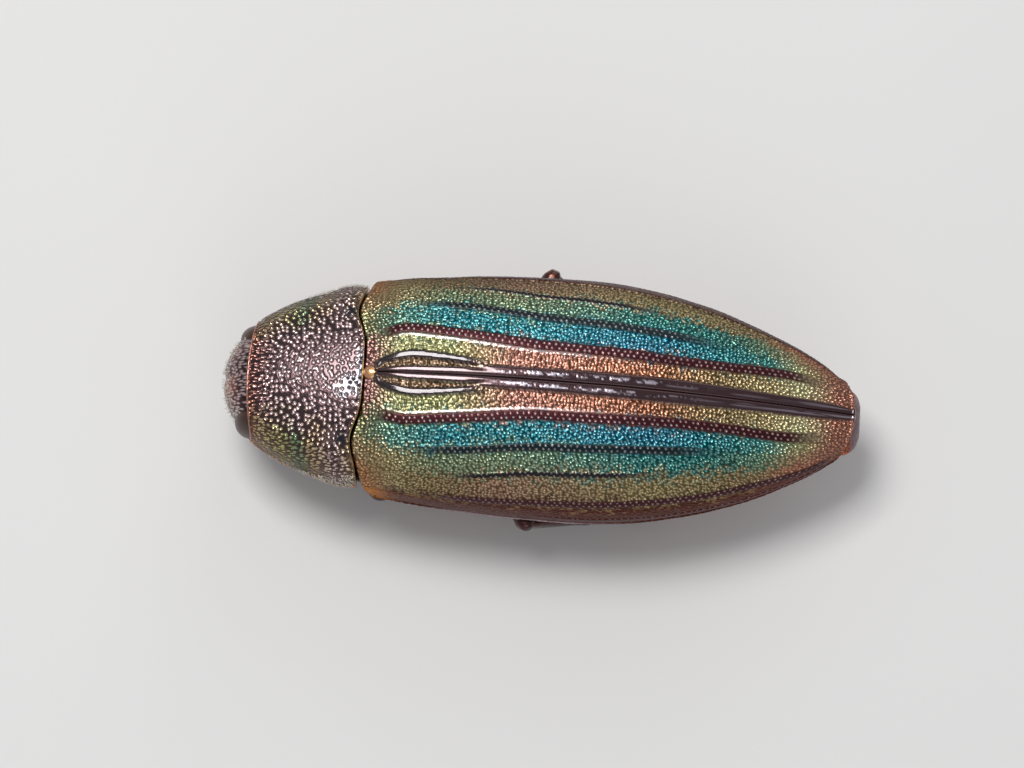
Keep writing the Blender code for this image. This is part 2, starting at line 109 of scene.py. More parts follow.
# Ribs of a wing case: the path of each from base to tip, as a share of the way from suture to side margin
RIB_PATHS = {
    "scutellar": [
        (0, 0.030), (0.022, 0.036), (0.04, 0.072), (0.10, 0.082), (0.19, 0.062), (0.26, 0.044), (1, 0.044)
    ],
    "second": [
        (0, 0.26), (0.07, 0.24), (0.2, 0.197), (0.38, 0.15),
        (0.6, 0.146), (0.72, 0.165), (0.86, 0.245), (1, 0.36),
    ],
    "third": [
        (0, 0.43), (0.15, 0.405), (0.21, 0.385), (0.38, 0.319), (0.55, 0.305), (0.72, 0.318), (1, 0.52)
    ],
    "fourth": [
        (0, 0.60), (0.216, 0.567), (0.38, 0.49), (0.55, 0.47), (0.72, 0.475), (0.85, 0.55), (1, 0.66)
    ],
    "fifth": [
        (0, 0.80), (0.216, 0.777), (0.38, 0.727), (0.6, 0.7), (0.8, 0.7), (0.93, 0.76), (1, 0.80)
    ],
    "marginal": [(0, 0.93), (0.5, 0.925), (1, 0.93)],
}
# Half width and height in millimetres, and where each rib starts, is whole, begins to fade and ends
RIB_FORMS = {
    "scutellar": (0.100, 0.060, (0.018, 0.03, 0.20, 0.27)),
    "second": (0.140, 0.055, (0.03, 0.06, 0.86, 0.96)),
    "third": (0.115, 0.050, (0.10, 0.20, 0.62, 0.76)),
    "fourth": (0.075, 0.030, (0.16, 0.26, 0.52, 0.66)),
    "fifth": (0.120, 0.045, (0.12, 0.22, 0.95, 0.99)),
    "marginal": (0.070, 0.020, (0.30, 0.45, 0.95, 0.99)),
}
# A smooth level strip along the inner side of a rib: its slope against the case, and where it runs
RIB_STRIPS = {"second": (0.19, (0.03, 0.12, 0.30, 0.56))}
RIB_STRIP_ACROSS = (-1.52, -1.36, -1.10, -0.95)  # its edges, in the rib's half widths
# Pits in two rows on each rib: between rows, between pits, and their radius
DOT_LANES = 0.11
DOT_GAP = 0.165
DOT_RADIUS = 0.034
# The outer edge of the ridge along the suture, and a row of pits beside its front
SUTURAL_PATH = [(0, 0.024), (0.16, 0.026), (0.26, 0.04), (0.42, 0.042), (0.6, 0.048), (0.8, 0.054), (1, 0.09)]
PIT_ROW_PATH = [(0, 0.03), (0.05, 0.048), (0.15, 0.046), (0.25, 0.028), (0.6, 0.030), (1, 0.05)]
PIT_SPACING = 0.080
WALL_HEIGHT = 0.014  # of the walls between crowded pits
SUTURE_GAP = 0.007  # half the gap between the two cases
PIT_DEPTHS = {
    "wing_case": 0.032,
    "ribs": 0.022,
    "shield": 0.040,
    "head": 0.026,
    "underside": 0.03,
    "tail": 0.02,
}


# Numbers


def smooth(stations, at):
    """A smooth curve through a few (place, value) stations, with no overshoot."""
    places, values = (np.array(column, float) for column in zip(*stations))
    slopes = np.diff(values) / np.diff(places)
    before, after = slopes[:-1], slopes[1:]
    same_way = before * after > 0
    inner = np.zeros_like(before)
    inner[same_way] = (2 * before * after)[same_way] / (before + after)[same_way]
    tangents = np.concatenate((slopes[:1], inner, slopes[-1:]))
    at = np.clip(at, places[0], places[-1])
    i = np.clip(np.searchsorted(places, at, side="right") - 1, 0, len(slopes) - 1)
    span = places[i + 1] - places[i]
    t = (at - places[i]) / span
    start = values[i] * (1 + 2 * t) * (1 - t) ** 2 + tangents[i] * span * t * (1 - t) ** 2
    return start + values[i + 1] * t * t * (3 - 2 * t) + tangents[i + 1] * span * t * t * (t - 1)


def step(low, high, x):
    """Rises smoothly from 0 at low to 1 at high."""
    t = np.clip((x - low) / (high - low), 0, 1)
    return t * t * (3 - 2 * t)


def span_share(marks, x):
    """0 before marks[0], 1 from marks[1] to marks[2], and 0 again after marks[3]."""
    return step(marks[0], marks[1], x) * (1 - step(marks[2], marks[3], x))


def chance(i, j, seed):
    """A steady random number from 0 to 1 for each whole (i, j)."""
    mixed = np.sin(i * 127.1 + j * 311.7 + seed * 74.7) * 43758.5453
    return mixed - np.floor(mixed)


def bell(x):
    """1 at nought, falling smoothly away on both sides."""
    return np.exp(-(x * x))


def unit(vectors):
    return vectors / np.linalg.norm(vectors, axis=-1, keepdims=True)


def scatter(u, v, seed, jitter=0.8):
    """Points scattered one to a unit square: the distances to the nearest two, and the nearest's number."""
    first = np.full(np.broadcast(u, v).shape, 9.0)
    second = first.copy()
    number = np.zeros_like(first)
    for du in (-1, 0, 1):
        for dv in (-1, 0, 1):
            i, j = np.floor(u) + du, np.floor(v) + dv
            x = i + 0.5 + jitter * (chance(i, j, seed) - 0.5)
            y = j + 0.5 + jitter * (chance(i, j, seed + 1) - 0.5)
            away = np.hypot(u - x, v - y)
            nearer = away < first
            second = np.where(nearer, first, np.minimum(second, away))
            number = np.where(nearer, chance(i, j, seed + 2), number)
            first = np.minimum(first, away)
    return first, second, number


def dots(y, aside, gap, size, seed):
    """Rows of round dots on both sides of a line, each row shifted by half a gap from the next."""
    lane = np.floor(aside / DOT_LANES)
    place = y / gap + 0.5 * (lane % 2)
    number = np.floor(place)
    away_y = (place - number - 0.5 + 0.3 * (chance(number, lane, seed) - 0.5)) * gap
    away_x = aside - (lane + 0.5) * DOT_LANES - 0.02 * (chance(number, lane, seed + 1) - 0.5)
    size = size * (0.8 + 0.4 * chance(number, lane, seed + 2))
    return 1 - step(0.45, 1.0, np.hypot(away_y, away_x) / size)


def clouds(u, v, seed):
    """Soft noise from 0 to 1 with one value to a unit square."""
    i, j = np.floor(u), np.floor(v)
    a, b = step(0, 1, u - i), step(0, 1, v - j)
    low = chance(i, j, seed) * (1 - a) + chance(i + 1, j, seed) * a
    high = chance(i, j + 1, seed) * (1 - a) + chance(i + 1, j + 1, seed) * a
    return low * (1 - b) + high * b


def superellipse(angle, power):
    """(across, up) of a quarter superellipse: angle 0 is its top, a right angle its side."""
    return np.sin(angle) ** (2 / power), np.clip(np.cos(angle), 0, None) ** (2 / power)


def grid_normals(points):
    """The normals of a grid of points: each is square to the grid's rows and columns."""
    along, across = np.gradient(points, axis=0), np.gradient(points, axis=1)
    normals = np.cross(across, along)
    return normals / np.maximum(np.linalg.norm(normals, axis=2, keepdims=True), 1e-12)


def arc_across(points):
    """How far each point of a grid is along its row from the row's first point."""
    steps = np.linalg.norm(np.diff(points, axis=1), axis=2)
    return np.concatenate((np.zeros((len(points), 1)), np.cumsum(steps, axis=1)), axis=1)


# Meshes

PITCH = 10  # one point of a plate's inner grid for this many of its outer one
# Where the parts of a plate lie on the bake's map: its rims, its inner grid and its outer one
MAP_EDGE = 0.005
MAP_WIDTH = 0.99
RIM_STRIPS = (0.002, 0.014, 0.026, 0.038)
STRIP_HEIGHT = 0.008
INNER_PART = (0.052, 0.096)
OUTER_PART = (0.105, 0.995)


def counts(*full):
    """How many steps a plate's outer grid has, in whole steps of its inner grid."""
    return [int(round(n * DETAIL / PITCH)) * PITCH for n in full]


def coarse(grid):
    return grid[::PITCH, ::PITCH]


def two_grids(down, across):
    """One grid of numbers that change from row to row, and one of numbers that change along each row."""
    return down[:, None] + np.zeros((1, len(across))), across[None] + np.zeros((len(down), 1))


def grid_faces(rows, columns, first=0):
    """Quads of a grid with that many rows and columns of points."""
    i, j = np.meshgrid(np.arange(rows - 1), np.arange(columns - 1), indexing="ij")
    corner = (first + i * columns + j).ravel()
    return np.stack((corner, corner + 1, corner + columns + 1, corner + columns), axis=1)


def add_piece(name, vertices, faces, material, stands_for=(), marks=None, places=None):
    """A smooth mesh from millimetre points, with marks for its vertices and places on the bake's map."""
    mesh = bpy.data.meshes.new(name)
    mesh.from_pydata((vertices * MM).tolist(), [], [list(map(int, f)) for f in faces])
    for title, values in (marks or {}).items():
        layer = mesh.attributes.new(title, "FLOAT", "POINT")
        layer.data.foreach_set("value", np.ascontiguousarray(values, dtype=np.float32).ravel())
    if places is not None:
        layer = mesh.uv_layers.new(name="OFBake")
        layer.data.foreach_set("uv", np.ascontiguousarray(places, dtype=np.float32).ravel())
    mesh.shade_smooth()
    piece = bpy.data.objects.new(name, mesh)
    bpy.context.scene.collection.objects.link(piece)
    mesh.materials.append(material)
    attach(piece, "root")
    if stands_for:
        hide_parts(*stands_for)
    return piece


def rim(outside, inside, strip):
    """The faces along one side of a plate, a face to each step of its inner grid, and their places."""
    faces, corners = [], []
    for k in range(len(inside) - 1):
        faces.append((*outside[k * PITCH : (k + 1) * PITCH + 1], inside[k + 1], inside[k]))
        x = [MAP_EDGE + MAP_WIDTH * (k + i / PITCH) / (len(inside) - 1) for i in range(PITCH + 1)]
        y = [strip + STRIP_HEIGHT] * (PITCH + 1) + [strip] * 2
        corners.append(np.stack((x + [x[-1], x[0]], y), axis=1))
    return faces, corners


def map_grid(rows, columns, part):
    """Places on the bake's map for a grid of points, spread over a part of its height."""
    u, v = np.linspace(MAP_EDGE, MAP_EDGE + MAP_WIDTH, columns), np.linspace(*part, rows)
    return np.stack((np.tile(u, rows), np.repeat(v, columns)), axis=1)


def shell(name, outer, inner, material, stands_for, marks, mirror=False):
    """A closed plate: a fine outer grid, a coarse inner grid, and a rim between them."""
    rows, columns = outer.shape[:2]
    inner_rows, inner_columns = inner.shape[:2]
    outer_index = np.arange(rows * columns).reshape(rows, columns)
    inner_index = rows * columns + np.arange(inner_rows * inner_columns).reshape(inner_rows, inner_columns)
    vertices = np.concatenate((outer.reshape(-1, 3), inner.reshape(-1, 3)))
    faces = [tuple(f) for f in grid_faces(rows, columns)]
    faces += [tuple(f) for f in grid_faces(inner_rows, inner_columns, rows * columns)[:, ::-1]]
    inner_map = map_grid(inner_rows, inner_columns, INNER_PART)
    on_map = np.concatenate((map_grid(rows, columns, OUTER_PART), inner_map))
    corners = [on_map[list(f)] for f in faces]
    sides = (
        (outer_index[:, 0], inner_index[:, 0], 1),
        (outer_index[:, -1], inner_index[:, -1], -1),
        (outer_index[0], inner_index[0], -1),
        (outer_index[-1], inner_index[-1], 1),
    )
    for strip, (outside, inside, way) in zip(RIM_STRIPS, sides):
        rim_faces, rim_corners = rim(outside, inside, strip)
        faces += [f[::way] for f in rim_faces]
        corners += [c[::way] for c in rim_corners]
    if mirror:
        vertices = vertices * (-1, 1, 1)
        faces = [f[::-1] for f in faces]
        corners = [c[::-1] for c in corners]
    whole = {title: np.append(m.ravel(), coarse(m).ravel()) for title, m in marks.items()}
    return add_piece(name, vertices, faces, material, stands_for, whole, np.concatenate(corners))


def surface_at(surface, a, b):
    """Points of a surface and the directions out of it. The beetle's middle is taken as inside."""
    small = 1e-4
    here = surface(a, b)
    along = surface(a + small, b) - here
    across = surface(a, b + small) - here
    out = unit(np.cross(across, along))
    middle = here * (0, 1, 0) + (0, 0, MIDDLE_HEIGHT)
    facing = np.sign(np.einsum("ij,ij->i", out, here - middle))
    return here, out * facing[:, None]


def ring_frame(points):
    """For each point of a path, two unit directions square to it: a level one and an upright one."""
    ahead = unit(np.gradient(points, axis=0))
    level = np.cross(ahead, (0, 0, 1.0))
    level /= np.maximum(np.linalg.norm(level, axis=1, keepdims=True), 1e-9)
    return level, np.cross(level, ahead)


def tube_rings(path, widths, heights, around, power=2.0):
    """Rings round a path of points, each a superellipse of that half width and half height."""
    level, upright = ring_frame(path)
    turn = np.linspace(0, 2 * math.pi, around, endpoint=False)
    out = np.sign(np.cos(turn)) * np.abs(np.cos(turn)) ** (2 / power)
    up = np.sign(np.sin(turn)) * np.abs(np.sin(turn)) ** (2 / power)
    across = widths[:, None, None] * out[None, :, None] * level[:, None]
    rise = heights[:, None, None] * up[None, :, None] * upright[:, None]
    return path[:, None] + across + rise


def ball_rings(centre, radii, rows, around):
    """Level rings of a ball, the first and last of them small."""
    tilt = np.linspace(0.03, math.pi - 0.03, rows)[:, None]
    turn = np.linspace(0, 2 * math.pi, around, endpoint=False)[None]
    x, y, z = np.sin(tilt) * np.cos(turn), np.sin(tilt) * np.sin(turn), -np.cos(tilt) + 0 * turn
    return np.asarray(centre) + np.stack((x, y, z), axis=-1) * np.asarray(radii)


def along_path(start, end, count):
    share = np.linspace(0, 1, count)[:, None]
    return np.asarray(start) * (1 - share) + np.asarray(end) * share


def turned(rings, centre, matrix):
    """Rings turned about a centre."""
    return (rings - centre) @ np.array(matrix).T + centre


class Bundle:
    """Closed parts joined into one mesh, all of them mirrored if it says so."""

    def __init__(self, mirror=False):
        self.mirror = mirror
        self.vertices, self.faces, self.count = [], [], 0

    def add(self, rings):
        """A closed part through rings that each go round once, with a flat cap at both ends."""
        rows, around = rings.shape[:2]
        i, j = np.meshgrid(np.arange(rows - 1), np.arange(around), indexing="ij")
        after = (j + 1) % around
        corners = (i * around + j, i * around + after, (i + 1) * around + after, (i + 1) * around + j)
        quads = np.stack(corners, axis=-1)
        faces = [tuple(f) for f in quads.reshape(-1, 4)]
        faces += [tuple(range(around))[::-1], tuple(range((rows - 1) * around, rows * around))]
        points = rings.reshape(-1, 3)
        middle = points.mean(axis=0)
        a, b, c, _ = (points[quads[..., k]] - middle for k in range(4))
        inside_out = np.einsum("ijk,ijk->ij", np.cross(a, b), c).sum() < 0
        if self.mirror:
            points = points * (-1, 1, 1)
        if inside_out != self.mirror:
            faces = [f[::-1] for f in faces]
        self.faces += [tuple(k + self.count for k in f) for f in faces]
        self.vertices.append(points)
        self.count += len(points)

    def tube(self, path, widths, heights, around, power=2.0):
        self.add(tube_rings(path, widths, heights, around, power))

    def piece(self, name, material, stands_for, slot, marks=None):
        made = add_piece(name, np.concatenate(self.vertices), self.faces, material, stands_for, marks)


# Materials


class Look:
    """A node material under construction."""

    def __init__(self, name):
        self.material = bpy.data.materials.new(name)
        self.material.use_nodes = True
        self.tree = self.material.node_tree
        self.shader = self.tree.nodes["Principled BSDF"]

    def node(self, kind, inputs=None, **settings):
        made = self.tree.nodes.new(kind)
        for key, value in settings.items():
            setattr(made, key, value)
        for key, value in (inputs or {}).items():
            self.feed(made.inputs[key], value)
        return made

    def feed(self, socket, value):
        if isinstance(value, bpy.types.NodeSocket):
            self.tree.links.new(value, socket)
        elif socket.type == "RGBA":
            socket.default_value = (*value, 1)
        else:
            socket.default_value = value

    def set(self, **inputs):
        """Feeds the shader's sockets, named in lower case with underscores."""
        for key, value in inputs.items():
            self.feed(self.shader.inputs[key.replace("_", " ").title().replace("Ior", "IOR")], value)

    def mark(self, title):
        return self.node("ShaderNodeAttribute", attribute_name=title).outputs["Fac"]

    def math(self, operation, a, b):
        return self.node("ShaderNodeMath", {0: a, 1: b}, operation=operation).outputs[0]

    def spread(self, value, low, high, to_low=0.0, to_high=1.0):
        """value taken from low..high to to_low..to_high, held at the ends."""
        ends = {"Value": value, "From Min": low, "From Max": high, "To Min": to_low, "To Max": to_high}
        return self.node("ShaderNodeMapRange", ends).outputs[0]

    def mix(self, share, a, b, way="MIX"):
        made = self.node("ShaderNodeMix", data_type="RGBA", blend_type=way)
        self.feed(made.inputs[0], share)
        self.feed(made.inputs[6], a)
        self.feed(made.inputs[7], b)
        return made.outputs[2]

    def ramp(self, share, stops):
        """A colour ramp through (place, colour) stops."""
        made = self.node("ShaderNodeValToRGB", {0: share})
        elements = made.color_ramp.elements
        for place, colour in stops[1:-1]:
            elements.new(place).color = (*colour, 1)
        elements[0].position, elements[0].color = stops[0][0], (*stops[0][1], 1)
        elements[-1].position, elements[-1].color = stops[-1][0], (*stops[-1][1], 1)
        return made.outputs[0]

    def noise(self, scale, detail=2.0, roughness=0.5):
        """Noise in the object's own millimetres."""
        where = self.node("ShaderNodeTexCoord").outputs["Object"]
        inputs = {"Vector": where, "Scale": scale / MM, "Detail": detail, "Roughness": roughness}
        return self.node("ShaderNodeTexNoise", inputs).outputs["Fac"]

    def cells(self, scale, randomness=1.0):
        """The distance from the nearest of scattered points, with scale of them to a millimetre."""
        where = self.node("ShaderNodeTexCoord").outputs["Object"]
        inputs = {"Vector": where, "Scale": scale / MM, "Randomness": randomness}
        return self.node("ShaderNodeTexVoronoi", inputs).outputs["Distance"]

    def bump(self, height, distance, strength):
        inputs = {"Height": height, "Distance": distance * MM, "Strength": strength}
        return self.node("ShaderNodeBump", inputs).outputs[0]


def tint(red, green, blue):
    """A colour given as it looks on screen, from 0 to 255."""
    parts = (c / 255 for c in (red, green, blue))
    return tuple(c / 12.92 if c < 0.04045 else ((c + 0.055) / 1.055) ** 2.4 for c in parts)


BLACK = tint(18, 15, 20)
NIGHT_BLUE = tint(18, 32, 36)
COPPER = tint(196, 112, 78)
ROSE = tint(226, 146, 124)
ORANGE = tint(222, 132, 88)
GOLD = tint(206, 166, 108)
LIME = tint(214, 208, 138)
OLIVE = tint(160, 160, 100)
SAGE = tint(132, 176, 134)
TEAL = tint(52, 176, 166)
TURQUOISE = tint(16, 172, 184)
BLUE = tint(16, 160, 194)
BROWN = tint(128, 70, 50)
DARK_RED = tint(62, 15, 22)
PLUM = tint(62, 36, 38)
DARK_PLUM = tint(36, 24, 26)
PALE_ROSE = tint(236, 206, 204)
DARK_BROWN = tint(62, 36, 28)
FLANK_BROWN = tint(112, 50, 34)
PALE_GOLD = tint(232, 204, 150)
RIM_ROSE = tint(186, 132, 112)
RIM_GOLD = tint(150, 122, 78)
PAINTED_GLINT_PALE = tint(226, 212, 222)
DUSTY_PINK = tint(184, 116, 108)
AMBER = tint(226, 148, 78)
PEACH = tint(228, 172, 132)
SAND = tint(226, 196, 130)
PALE_SAGE = tint(178, 200, 150)
PALE_LIME = tint(232, 222, 160)
SEA_GREEN = tint(112, 184, 160)


LAST_BAND = 6.0  # the number of the side margin: the suture's is 0, and each rib between has a whole one
# The place from base to tip, then the colours of the suture, the five spaces between ribs, and the margin
CASE_COLOURS = (
    (0.015, DUSTY_PINK, DUSTY_PINK, OLIVE, GOLD, AMBER, AMBER, BROWN),
    (0.07, BROWN, LIME, SEA_GREEN, SAND, SAND, BROWN, FLANK_BROWN),
    (0.17, BROWN, LIME, TURQUOISE, PALE_SAGE, GOLD, FLANK_BROWN, FLANK_BROWN),
    (0.30, ROSE, ROSE, TURQUOISE, PALE_SAGE, PEACH, FLANK_BROWN, FLANK_BROWN),
    (0.58, ORANGE, ORANGE, BLUE, TEAL, SAND, FLANK_BROWN, FLANK_BROWN),
    (0.70, GOLD, GOLD, TURQUOISE, TEAL, SAND, FLANK_BROWN, FLANK_BROWN),
    (0.82, SAND, SAND, TEAL, SAGE, GOLD, FLANK_BROWN, FLANK_BROWN),
    (0.89, ORANGE, PALE_LIME, LIME, GOLD, ORANGE, FLANK_BROWN, FLANK_BROWN),
    (0.96, COPPER, COPPER, COPPER, COPPER, COPPER, FLANK_BROWN, FLANK_BROWN),
)
BAND_BLEND = 0.22  # how far from a space's middle its colour begins to change
# Colours of the ribs, each at a band's number
RIB_COLOURS = (
    (0.0, PLUM),
    (0.9, PLUM),
    (1.2, DARK_PLUM),
    (1.4, DARK_PLUM),
    (1.75, DARK_RED),
    (2.3, DARK_RED),
    (2.7, NIGHT_BLUE),
    (3.4, NIGHT_BLUE),
    (4.0, BLACK),
    (5.2, DARK_RED),
)


def band_ramp(look, band, stops):
    return look.ramp(band, [(place / LAST_BAND, colour) for place, colour in stops])


def case_ground(look, along, grain):
    """The colour between the ribs, from pit to pit a little different."""
    wander = look.spread(look.noise(2.2, 3.0), 0.3, 0.7, -0.16, 0.16)
    speckle = look.spread(grain, 0, 1, -0.30, 0.30)
    band = look.math("ADD", look.mark("band"), look.math("ADD", wander, speckle))
    band = look.math("DIVIDE", band, LAST_BAND)
    ramps = []
    for _, first, *middle, last in CASE_COLOURS:
        stops = [(n + 1.5 + aside, c) for n, c in enumerate(middle) for aside in (-BAND_BLEND, BAND_BLEND)]
        ramps.append(band_ramp(look, band, [(0.0, first), *stops, (LAST_BAND, last)]))
    places = [place for place, *_ in CASE_COLOURS]
    colour = ramps[0]
    for before, place, ramp in zip(places, places[1:], ramps[1:]):
        colour = look.mix(look.spread(along, before, place), colour, ramp)
    return colour


def wing_case_look():
    look = Look("wing_case")
    along = look.mark("along")
    colour = case_ground(look, along, look.mark("grain"))
    band = look.math("DIVIDE", look.mark("band"), LAST_BAND)
    colour = look.mix(look.mark("space"), colour, tint(150, 108, 70))
    # A shaded and a lit copy of the colour: painted shade for the pits' walls, and whitened painted
    # highlights for their bottoms
    deep = look.mix(1.0, colour, (0.15, 0.16, 0.16), "MULTIPLY")
    highlight_copy = look.mix(1.0, colour, (1.35, 1.35, 1.35), "MULTIPLY")
    lit = look.mix(look.spread(band, 0.84, 0.88, 0.24, 0.0), highlight_copy, (1.0, 0.95, 0.85))
    fine = look.spread(look.cells(20.0), 0.15, 0.60, 1.0, 0.45)
    # Painted highlights at the pits' bottoms and painted shade on their walls, weaker near the base and the
    # tip
    dark = look.math("SUBTRACT", 1.0, look.math("MULTIPLY", look.mark("pit"), fine))
    dark = look.math("MULTIPLY", dark, look.spread(along, 0.0, 0.12, 0.85, 1.0))
    dark = look.math("MULTIPLY", dark, look.spread(along, 0.75, 0.92, 1.0, 0.80))
    colour = look.mix(dark, lit, deep)
    rib = look.mark("rib")
    rib_colour = band_ramp(look, band, RIB_COLOURS)
    # The pits on the ribs are painted pale rose: painted highlights in them
    dot_highlight_colour = look.mix(0.6, lit, PALE_ROSE)
    colour = look.mix(rib, colour, look.mix(look.mark("dots"), rib_colour, dot_highlight_colour))
    # The smooth level strip beside the second rib is painted pale rose too: a painted highlight along it
    shine = look.mark("shine")
    colour = look.mix(shine, colour, look.mix(0.65, lit, PALE_ROSE))
    # Painted highlights: pale streaks on the ridge beside the suture and along part of the side bead
    colour = look.mix(look.mark("painted_glint"), colour, PAINTED_GLINT_PALE)
    inner = look.math("MULTIPLY", rib, look.spread(band, 0.22, 0.30, 1.0, 0.0))
    smooth_part = look.math("MAXIMUM", inner, shine)
    look.set(base_color=colour, metallic=look.spread(rib, 0, 1, 1.0, 0.7))
    coat = look.math("MULTIPLY", inner, look.spread(along, 0.22, 0.34, 0.9, 0.45))
    rough = look.math("ADD", look.spread(smooth_part, 0, 1, 0.33, 0.18), look.spread(shine, 0, 1, 0.0, 0.10))
    look.set(roughness=rough, coat_weight=coat, coat_roughness=0.08)
    look.set(normal=look.bump(look.noise(22.0, 3.0, 0.6), 0.010, 0.5))
    return look.material


# Wing cases


def bow(x):
    """How far the joint between shield and wing cases bows forward, as a share of its most."""
    return bell((np.abs(x) - BOW_AT) / BOW_SPREAD)


def share_along(y):
    return np.clip((y - ELYTRA_BASE) / (ELYTRA_TIP - ELYTRA_BASE), 0, 1)


def back_half_width(y):
    s = share_along(y)
    narrow = np.clip(1 - s / WIDEST_AT, 0, 1) ** SHOULDER_POWER
    front = HALF_WIDTH - (HALF_WIDTH - SHOULDER_HALF_WIDTH) * narrow
    taper = np.clip((s - WIDEST_AT) / (1 - WIDEST_AT), 0, 1) ** 2
    rear = TIP_HALF_WIDTH + (HALF_WIDTH - TIP_HALF_WIDTH) * (1 - taper) ** TAPER_POWER
    return np.where(s < WIDEST_AT, front, rear)


def back_surface(s, t):
    """The left wing case's form: s runs from base to tip, t from the suture to the side margin."""
    power = BASE_ARCH_POWER + (ARCH_POWER - BASE_ARCH_POWER) * step(0, BASE_ARCH_END, s)
    across, up = superellipse(t * math.pi / 2, power)
    corner = np.clip((t - SHOULDER_START) / (1 - SHOULDER_START), 0, 1)
    at_base, _ = superellipse(t * math.pi / 2, BASE_ARCH_POWER)
    base = ELYTRA_BASE - CASE_BOW * bow(SHOULDER_HALF_WIDTH * at_base)
    base = base + SHOULDER_ROUND * (1 - np.sqrt(1 - corner * corner))
    tip = ELYTRA_TIP - TIP_ROUND * t**TIP_POWER
    y = base + s * (tip - base)
    low = smooth(MARGIN_HEIGHT, share_along(y))
    high = smooth(SUTURE_HEIGHT, share_along(y))
    return np.stack((back_half_width(y) * across, y, low + (high - low) * up), axis=-1)


class CaseGrid:
    """The grid of points of a left wing case, where s runs from its base to its tip."""

    def __init__(self, side):
        self.seed = SIDE_SEEDS[side]
        rows, self.columns = counts(540, 180)
        self.s = np.linspace(0, 1, rows + 1)[:, None]
        t = np.linspace(0, 1, self.columns + 1)[None]
        self.points = back_surface(self.s + 0 * t, t + 0 * self.s)
        self.y = self.points[..., 1]
        self.arc = arc_across(self.points)
        self.sutural_edge = self.arc_at(SUTURAL_PATH)
        self.sutural = 1 - step(-0.035, 0.035, self.arc - self.sutural_edge)
        self.sutural = self.sutural * step(0.012, 0.03, self.s)

    def arc_at(self, path):
        """The arc, across the case, of a path from base to tip."""
        place = np.clip(smooth(path, self.s), 0, 1) * self.columns
        left = np.minimum(np.floor(place).astype(int), self.columns - 1)
        row = np.arange(len(self.s))[:, None]
        return self.arc[row, left] + (self.arc[row, left + 1] - self.arc[row, left]) * (place - left)


def case_ribs(case):
    """Where the ribs are, their height, their own pits, and the shiny strips beside them."""
    rib = case.sutural
    height = 0.05 * rib * (1 - 0.5 * step(0.85, 1, case.s))
    spots, shine = np.zeros_like(case.arc), np.zeros_like(case.arc)
    for number, (name, path) in enumerate(RIB_PATHS.items()):
        half, tall, marks = RIB_FORMS[name]
        off = case.arc - case.arc_at(path)
        ridge = (1 - step(0.72, 1.25, np.abs(off) / half)) * span_share(marks, case.s)
        if name in RIB_STRIPS:
            slope, run = RIB_STRIPS[name]
            strip = span_share(RIB_STRIP_ACROSS, off / half) * span_share(run, case.s)
            height = height * (1 - strip) + strip * slope * (off + 1.4 * half)
            ridge = ridge * (1 - strip)
            shine = np.maximum(shine, strip)
        rib = np.maximum(rib, ridge)
        height = np.maximum(height, tall * ridge)
        if name != "scutellar":
            pits = dots(case.y, off, DOT_GAP, DOT_RADIUS, case.seed + 40 + number)
            spots = np.maximum(spots, pits * ridge)
    return rib, height, spots, shine


def scutellar_space(case):
    """The groove beside the suture's front, its row of pits, and the coppery space it runs in."""
    s = case.s
    lane = case.arc - case.arc_at(PIT_ROW_PATH)
    row = dots(case.y, lane + DOT_LANES / 2, 0.13, 0.032, case.seed + 77)
    row = row * (np.abs(lane) < DOT_LANES / 2) * span_share((0.03, 0.06, 0.21, 0.26), s)
    groove = (1 - step(0.03, 0.09, np.abs(lane))) * (1 - step(0.2, 0.26, s)) * step(0.03, 0.05, s)
    past_suture = step(0.0, 0.03, case.arc - case.sutural_edge)
    space = past_suture * (1 - step(-0.03, 0.02, case.arc - case.arc_at(RIB_PATHS["scutellar"])))
    return groove, row, space * span_share((0.02, 0.04, 0.24, 0.28), s)


def sutural_painted_glints(case):
    """Painted highlights: broken pale streaks along the crest of the ridge beside the suture."""
    y, arc, s, seed = case.y, case.arc, case.s, case.seed
    ragged = 0.5 * clouds(y / 0.26, arc / 0.06, seed + 91) + 0.5 * clouds(y / 0.055, arc / 0.022, seed + 93)
    drawn = clouds(y / 0.9, arc / 0.026, seed + 95)
    on_crest = span_share((0.28, 0.44, 0.54, 0.74), arc / case.sutural_edge) * case.sutural
    painted_glint = step(0.48, 0.64, ragged) * span_share((0.25, 0.32, 0.5, 0.72), s)
    return np.maximum(painted_glint, 0.28 * step(0.5, 0.75, drawn) * step(0.4, 0.6, s)) * on_crest


def case_bands(case):
    """A number for each space between ribs, from 0 at the suture to 6 at the side margin."""
    arc = case.arc
    edges = [0 * case.sutural_edge, case.sutural_edge]
    edges += [case.arc_at(RIB_PATHS[name]) for name in ("second", "third", "fourth", "fifth")]
    edges.append(arc[:, -1:])
    band = np.zeros_like(arc)
    for number, (low, high) in enumerate(zip(edges, edges[1:])):
        inside = (arc >= low) & (arc <= high)
        band = np.where(inside, number + (arc - low) / np.maximum(high - low, 1e-9), band)
    return band


def case_pits(case):
    """The crowded pits between the ribs: their bowls, the walls between them, and each one's number."""
    waver = 0.35 * clouds(case.y / 0.3, case.arc / 0.3, case.seed + 7)
    along, across = case.y / (PIT_SPACING * 1.15) + waver, case.arc / PIT_SPACING + waver
    near, far, grain = scatter(along, across, case.seed + 11)
    return 1 - step(0.05, 0.60, near), 1 - step(0.0, 0.30, far - near), grain


